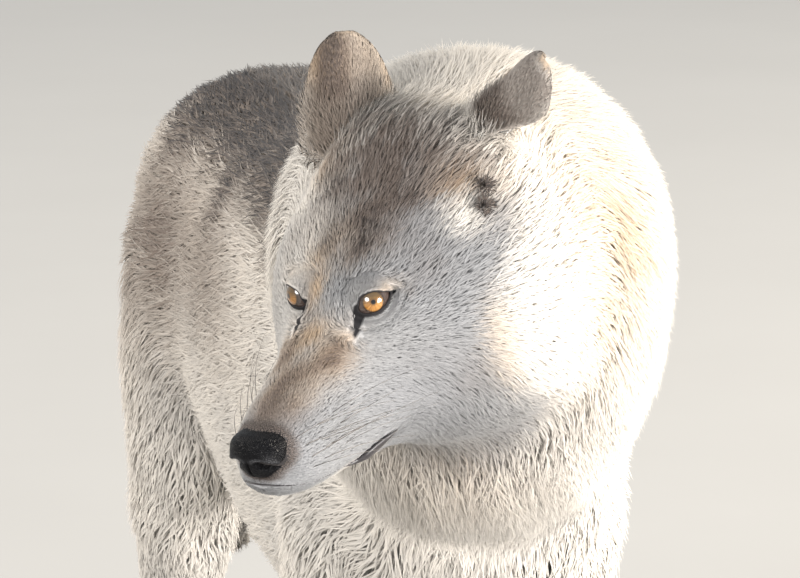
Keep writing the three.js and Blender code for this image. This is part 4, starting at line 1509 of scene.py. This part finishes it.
def makeEyeMaterial():
    material, tree, shader = newMaterial("eyeball", {"Roughness": 0.12, "Coat Weight": 1.0, "Coat Roughness": 0.02})
    place = attribute(tree, "gaze")["Vector"]
    parts = addNode(tree, "ShaderNodeSeparateXYZ", {"Vector": place}).outputs
    away = addNode(tree, "ShaderNodeCombineXYZ", {"X": parts["X"], "Y": parts["Y"]}).outputs[0]
    distance = addNode(tree, "ShaderNodeVectorMath", {0: away}, operation="LENGTH").outputs["Value"]
    way = addNode(tree, "ShaderNodeVectorMath", {0: away}, operation="NORMALIZE").outputs[0]
    rays = addNode(tree, "ShaderNodeTexNoise", {"Vector": way, "Scale": 7.0, "Detail": 4.0}).outputs["Fac"]
    color = blendOf(tree, rangeOf(tree, rays, 0.35, 0.65), irisLook["amber"], irisLook["gold"])
    # Painted shadow of the upper lid: the iris darkens towards its top.
    lower = rangeOf(tree, parts["Y"], -3.5, 4.5, 0.0, 0.9)
    color = blendOf(tree, lower, color, irisLook["shade"])
    inner = rangeOf(tree, distance, irisLook["pupil"] + 0.2, irisLook["pupil"] + 1.6, 0.55, 0.0)
    color = blendOf(tree, inner, color, irisLook["ring"])
    rim = rangeOf(tree, distance, irisLook["radius"] - 1.6, irisLook["radius"] - 0.2)
    color = blendOf(tree, rim, color, irisLook["ring"])
    outside = rangeOf(tree, distance, irisLook["radius"], irisLook["radius"] + 0.7)
    color = blendOf(tree, outside, color, irisLook["white"])
    pupil = rangeOf(tree, distance, irisLook["pupil"] - 0.15, irisLook["pupil"] + 0.2, 1.0, 0.0)
    color = blendOf(tree, pupil, color, irisLook["black"])
    feed(tree, shader.inputs["Base Color"], color)
    return material


eyeMaterial = makeEyeMaterial()


def makeEye(side):
    out, up, looks = eyeAxes(side)
    middle = toHead(eyeMiddles[side][None])[0]
    rows, around, bulge = eyeBall["rows"], eyeBall["around"], eyeBall["bulge"]
    angle = (np.arange(1, rows + 1) / rows) ** 1.3 * np.pi * 0.62
    turn = np.arange(around) * 2 * np.pi / around
    flat = np.sin(angle)[:, None] * eyeBall["radius"]
    u, v = flat * np.cos(turn), flat * np.sin(turn)
    deep = np.cos(angle)[:, None] * eyeBall["radius"] * np.ones(around)
    away = np.hypot(u, v)
    deep = deep + bulge * np.clip(1 - (away / 8.2) ** 2, 0, 1) * (deep > 0)
    gaze = np.concatenate([[[0, 0, eyeBall["radius"] + bulge]], np.stack([u, v, deep], 2).reshape(-1, 3)])
    points = middle + gaze @ np.stack([out, up, looks])
    faces = [(0, 1 + (j + 1) % around, 1 + j) for j in range(around)]
    faces = np.array(faces + stripFaces(rows - 1, around, 1))
    points = fromHead(points)
    if (normalsOf(points, faces)[0] @ (looks @ headTurn.T)) < 0:
        faces = faces[:, ::-1]
    eye = newObject("eyeball_" + side, points, faces, eyeMaterial)
    setValues(eye.data, "gaze", "FLOAT_VECTOR", gaze)
    return eye


eyes = {side: makeEye(side) for side in sides}
print("eyes set")

# ---- lips, nose leather, claws and whiskers ----


# A tube of rings along a path; sizes are (beside, over) at each point.
def tubeRings(path, beside, over, sizes, around):
    turn = np.arange(around) * 2 * np.pi / around
    rings = path[:, None] + beside[:, None] * (np.cos(turn) * sizes[:, :1])[..., None]
    return rings + over[:, None] * (np.sin(turn) * sizes[:, 1:])[..., None]


def tubeFaces(count, around, start=0):
    faces = stripFaces(count - 1, around, start)
    last = start + (count - 1) * around
    for j in range(1, around - 1):
        faces += [(start, start + j + 1, start + j), (last, last + j, last + j + 1)]
    return faces


def makeLips():
    path = mouthLine
    along = unit(np.gradient(path, axis=0))
    normals = np.array([headGuide.find_nearest(Vector(p))[1] for p in path])
    beside = across(along, normals)
    over = across(beside, along)
    half = np.interp(-path[:, 1], *np.array(lipLook["half"]).T)
    ends = np.sqrt(np.clip(np.minimum(np.arange(len(path)), np.arange(len(path))[::-1]) / 6, 0.02, 1))
    bulge, out = (np.interp(-path[:, 1], *np.array(lipLook[k]).T)[:, None] for k in ("bulge", "out"))
    sizes = np.concatenate([half[:, None], bulge], 1) * ends[:, None]
    rings = tubeRings(path + over * out, beside, over, sizes, lipLook["around"])
    faces = np.array(tubeFaces(len(path), lipLook["around"]))
    material, tree, shader = newMaterial("lipSkin", {"Roughness": 0.38})
    grain = grainIn(tree, 700.0, 2.0, (0.010, 0.009, 0.010, 1), (0.035, 0.030, 0.032, 1))
    feed(tree, shader.inputs["Base Color"], grain["Color"])
    addBump(tree, shader, grain["Height"], 0.3, 0.0006)
    return newObject("lips", fromHead(rings.reshape(-1, 3)), outward(rings.reshape(-1, 3), faces), material)


def makeNose():
    look = noseLook
    t = np.sin(np.linspace(-np.pi / 2, np.pi / 2, look["rows"]))
    turn = np.arange(look["around"]) * 2 * np.pi / look["around"]
    power = 2 / look["square"]
    c = np.sign(np.cos(turn)) * np.abs(np.cos(turn)) ** power
    z = np.sign(np.sin(turn)) * np.abs(np.sin(turn)) ** power
    high = np.where(z > 0, look["up"], look["down"]) * z
    narrow = 1 - look["narrow"] * ramp(-high, 0, look["down"])
    points = np.zeros((look["rows"], look["around"], 3))
    points[..., 0] = noseTaper(t, "taper")[:, None] * look["halfWidth"] * c * narrow
    points[..., 1] = look["halfLength"] * t[:, None]
    points[..., 2] = noseTaper(t, "tall")[:, None] * high + look["tilt"] * t[:, None]
    points = points.reshape(-1, 3)  # across, ahead and up from the middle of the nose
    hollowShade, wornAndHighlight = np.zeros(len(points)), np.zeros(len(points))
    front = ramp(points[:, 1], 4, 10)
    for s in (1, -1):
        own = points * [s, 1, 1]
        bend = math.radians(look["holeTurn"])
        du, dv = own[:, 0] - look["nostril"][0], own[:, 2] - look["nostril"][1]
        du, dv = du * math.cos(bend) - dv * math.sin(bend), du * math.sin(bend) + dv * math.cos(bend)
        ring = np.hypot(du / look["holeReach"][0], dv / look["holeReach"][1])
        hole = (1 - ramp(ring, 0.5, 1.15)) * front
        rim = np.exp(-(((ring - look["rim"][0]) / look["rim"][1]) ** 2)) * front * ramp(dv, -1, 2)
        slit = 1 - ramp(gapToPath(own, look["slit"]), look["slitReach"] * 0.35, look["slitReach"] * 1.5)
        wing = np.exp(-((np.linalg.norm(own - look["wing"], axis=1) / look["wingReach"]) ** 2))
        inward = unit(own * [1, 1.2, 1])
        own = own + inward * ((look["wingOut"] * wing + look["rimOut"] * rim) * (1 - hole))[:, None]
        own = own - inward * (look["slitDeep"] * slit)[:, None]
        own[:, 1] -= look["holeDeep"] * hole
        points = own * [s, 1, 1]
        hollowShade = np.maximum(hollowShade, np.maximum(hole, 0.85 * slit))
        # lighter rims and wing: partly worn leather, partly painted highlight
        wornAndHighlight = np.maximum(wornAndHighlight, np.maximum(rim, 0.7 * wing) * (1 - slit))
    groove = np.exp(-((points[:, 0] / look["groove"]) ** 2)) * front * ramp(-points[:, 2], -3, 3)
    points[:, 1] -= look["grooveDeep"] * groove
    hollowShade = np.maximum(hollowShade, 0.6 * groove)
    place = np.stack([points[:, 0], -(points[:, 1] + look["ahead"]), points[:, 2] + look["level"]], 1)
    faces = np.array(tubeFaces(look["rows"], look["around"]))
    material, tree, shader = newMaterial("noseLeather", {"Roughness": 0.4, "Specular IOR Level": 0.09})
    objectPlace = addNode(tree, "ShaderNodeTexCoord").outputs["Object"]
    cells = addNode(tree, "ShaderNodeTexVoronoi", {"Vector": objectPlace, "Scale": 720.0},
                    feature="DISTANCE_TO_EDGE")
    pebble = rangeOf(tree, cells.outputs["Distance"], 0.0, 0.28)
    grain = grainIn(tree, 160.0, 4.0, look["black"], look["sheen"])
    rubbedAndHighlight = mathOf(tree, "MULTIPLY", attribute(tree, "wornAndHighlight")["Fac"], 0.5)
    color = blendOf(tree, rubbedAndHighlight, grain["Color"], look["wornAndHighlight"])
    # Painted shade: darker in the creases between pebbles, and in the nostrils, slit and groove.
    color = blendOf(tree, rangeOf(tree, pebble, 0.0, 1.0, 0.7, 0.0), color, look["creaseShade"])
    color = blendOf(tree, attribute(tree, "hollowShade")["Fac"], color, look["deep"])
    feed(tree, shader.inputs["Base Color"], color)
    feed(tree, shader.inputs["Roughness"], rangeOf(tree, grain["Height"], 0.3, 0.7, 0.30, 0.46))
    addBump(tree, shader, pebble, 0.8, 0.0005)
    made = newObject("noseLeather", fromHead(place), outward(place, faces), material)
    setValues(made.data, "hollowShade", "FLOAT", hollowShade)
    setValues(made.data, "wornAndHighlight", "FLOAT", wornAndHighlight)
    return made


# Claws: horn that leaves each toe and bends to the floor.
pawLook = {
    "foreX": 76, "foreY": -270, "hindX": 74, "hindY": 356, "hindScale": 0.92,
    "toes": ((-1.46, 20, 27, -1.6), (-0.5, 37, 29, -0.5), (0.5, 37, 29, 0.5), (1.46, 20, 27, 1.6)),
    "spacing": 20, "height": 16, "splay": 7,
}
clawLook = {"long": 24, "thick": (4.4, 5.2), "around": 14, "rows": 12, "back": 14, "stretch": (900, 60, 900),
            "arch": (2.5, 15, 2.2),
            "root": (0.028, 0.022, 0.018, 1), "horn": (0.13, 0.10, 0.075, 1)}


def makeClaws():
    points, faces = [], []
    feet = [(s * pawLook["foreX"], pawLook["foreY"], 1.0) for s in (1, -1)]
    feet += [(s * pawLook["hindX"], pawLook["hindY"], pawLook["hindScale"]) for s in (1, -1)]
    for x, y, scale in feet:
        for out, ahead, reach, turns in pawLook["toes"]:
            turn = math.radians(turns * pawLook["splay"])
            way = np.array([math.sin(turn), -math.cos(turn), 0])
            middle = np.array([x + out * pawLook["spacing"] * scale, y - (ahead + 6) * scale, pawLook["height"]])
            root = middle + way * (reach - clawLook["back"]) * scale
            t = np.linspace(0, 1, clawLook["rows"])
            path = root + np.outer(t * clawLook["long"], way)
            lift, drop, power = clawLook["arch"]
            path[:, 2] += lift * t - drop * t**power
            along = unit(np.gradient(path, axis=0))
            beside = np.tile(across(way, np.array([0, 0, 1.0])), (len(t), 1))
            over = across(beside, along)
            slim = np.sqrt(1 - 0.985 * t**1.6)
            sizes = np.outer(slim, clawLook["thick"]) / 2
            faces += tubeFaces(len(t), clawLook["around"], sum(map(len, points)))
            points.append(tubeRings(path, beside, over, sizes, clawLook["around"]).reshape(-1, 3))
    material, tree, shader = newMaterial("clawHorn", {"Roughness": 0.35})
    grain = grainIn(tree, 1.0, 3.0, clawLook["root"], clawLook["horn"], clawLook["stretch"])
    feed(tree, shader.inputs["Base Color"], grain["Color"])
    addBump(tree, shader, grain["Height"], 0.25, 0.0005)
    points, faces = np.concatenate(points), np.array(faces)
    return newObject("claws", points, outward(points - points.mean(0), faces), material)


whiskerLook = {
    "rows": ((-51, 3), (-58, 4), (-65, 4), (-72, 3)),  # level and how many
    "ahead": (62, 92),
    "long": (45, 85),
    "thick": (0.27, 0.06),
    "steps": 9,
    "around": 4,
    "dark": (0.03, 0.026, 0.024, 1),
    "pale": (0.16, 0.14, 0.12, 1),
}


# Thin dark hairs from the lip, sweeping back and out.
def makeWhiskers():
    own = np.random.default_rng(7)
    points, faces = [], []
    for sign in (1, -1):
        for level, count in whiskerLook["rows"]:
            for ahead in np.linspace(*whiskerLook["ahead"], count):
                ahead = ahead + own.uniform(-3, 3)
                root = castOn((sign * 90, -ahead, level + own.uniform(-2, 2)), (-sign, 0, 0))
                if root is None:
                    continue
                long = own.uniform(*whiskerLook["long"]) * (1.1 - 0.3 * (ahead - 60) / 35)
                way = np.array([sign * own.uniform(0.45, 0.75), own.uniform(0.65, 0.95), own.uniform(0.0, 0.35)])
                way = unit(way)
                t = np.linspace(0, 1, whiskerLook["steps"])
                droop = np.array([-sign * 0.10, 0.12, own.uniform(-0.30, -0.1)])
                path = root + np.outer(t * long, way) + np.outer(t**2 * long, droop)
                along = unit(np.gradient(path, axis=0))
                beside = across(along, np.array([0, 0, 1.0]))
                over = across(beside, along)
                thick = whiskerLook["thick"][0] * (1 - t) + whiskerLook["thick"][1] * t
                faces += tubeFaces(len(t), whiskerLook["around"], sum(map(len, points)))
                sizes = np.stack([thick, thick], 1)
                points.append(tubeRings(path, beside, over, sizes, whiskerLook["around"]).reshape(-1, 3))
    material, tree, shader = newMaterial("whiskerHair", {"Roughness": 0.4})
    share = rangeOf(tree, grainIn(tree, 60.0, 2.0)["Height"], 0.35, 0.65)
    feed(tree, shader.inputs["Base Color"], blendOf(tree, share, whiskerLook["dark"], whiskerLook["pale"]))
    return newObject("whiskers", fromHead(np.concatenate(points)), np.array(faces), material)


lips = makeLips()
nose = makeNose()
claws = makeClaws()
whiskers = makeWhiskers()
print("lips, nose, claws and whiskers made")

# ---- floor and light ----

floorLook = {"half": 15000, "first": (0.335, 0.329, 0.319, 1), "second": (0.355, 0.349, 0.339, 1)}


def makeStage():
    material, tree, shader = newMaterial("paleFloor", {"Roughness": 0.9})
    grain = grainIn(tree, 3.0, 3.0, floorLook["first"], floorLook["second"])
    feed(tree, shader.inputs["Base Color"], grain["Color"])
    half = floorLook["half"]
    points = np.array([(-half, -half, 0), (half, -half, 0), (half, half, 0), (-half, half, 0)], float)
    newObject("floor", points, [(0, 1, 2, 3)], material)


lamps = {
    "sun": {"from": (7.1, 0.6, 2.5), "size": 2.6, "power": 1160, "color": (1.0, 0.92, 0.80)},
    "rim": {"from": (-5.2, 4.8, 4.4), "size": 3.6, "power": 420, "color": (1.0, 0.93, 0.84)},
    "front": {"from": (4.9, -5.4, 0.7), "size": 3.6, "power": 820, "color": (1.0, 0.97, 0.94)},
    "low": {"from": (2.2, -3.6, -0.25), "size": 0.6, "power": 170, "color": (1.0, 0.97, 0.94)},
    "fill": {"from": (-6.0, -4.6, 1.6), "size": 4.0, "power": 620, "color": (1.0, 0.97, 0.94)},
}
lampsAim = (0, -200, 600)  # the wolf's chest
sky = {"color": (0.90, 0.95, 1.0, 1), "strength": 0.74}


def makeLights():
    middle = Vector(toRow(lampsAim))
    for name, lamp in lamps.items():
        data = bpy.data.lights.new(name, "AREA")
        data.shape = "DISK"
        data.energy, data.size, data.color = lamp["power"], lamp["size"], lamp["color"]
        light = bpy.data.objects.new(name, data)
        bpy.context.scene.collection.objects.link(light)
        light.visible_camera = False
        light.location = middle + Vector(lamp["from"])
        light.rotation_euler = (-Vector(lamp["from"])).to_track_quat("-Z", "Y").to_euler()
    world = bpy.data.worlds.new("sky")
    world.use_nodes = True
    background = world.node_tree.nodes["Background"]
    background.inputs["Color"].default_value = sky["color"]
    background.inputs["Strength"].default_value = sky["strength"]
    bpy.context.scene.world = world
    bpy.context.scene.view_settings.view_transform = "Standard"


makeStage()
makeLights()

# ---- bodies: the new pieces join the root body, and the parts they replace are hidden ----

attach(skin, "root")
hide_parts(*fleshNodes, "ear_left", "ear_right")
for piece in coatPieces:
    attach(piece, "root")
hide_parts("nose")
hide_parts(*[name for name in cadNodes if name.startswith("claw_")])
for piece, slot in ((lips, "nose_leather"), (nose, "nose_leather"), (claws, "claw"), (whiskers, "coat")):
    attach(piece, "root")
for side, eye in eyes.items():
    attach(eye, "root")
    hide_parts("eye_" + side)

print("done")
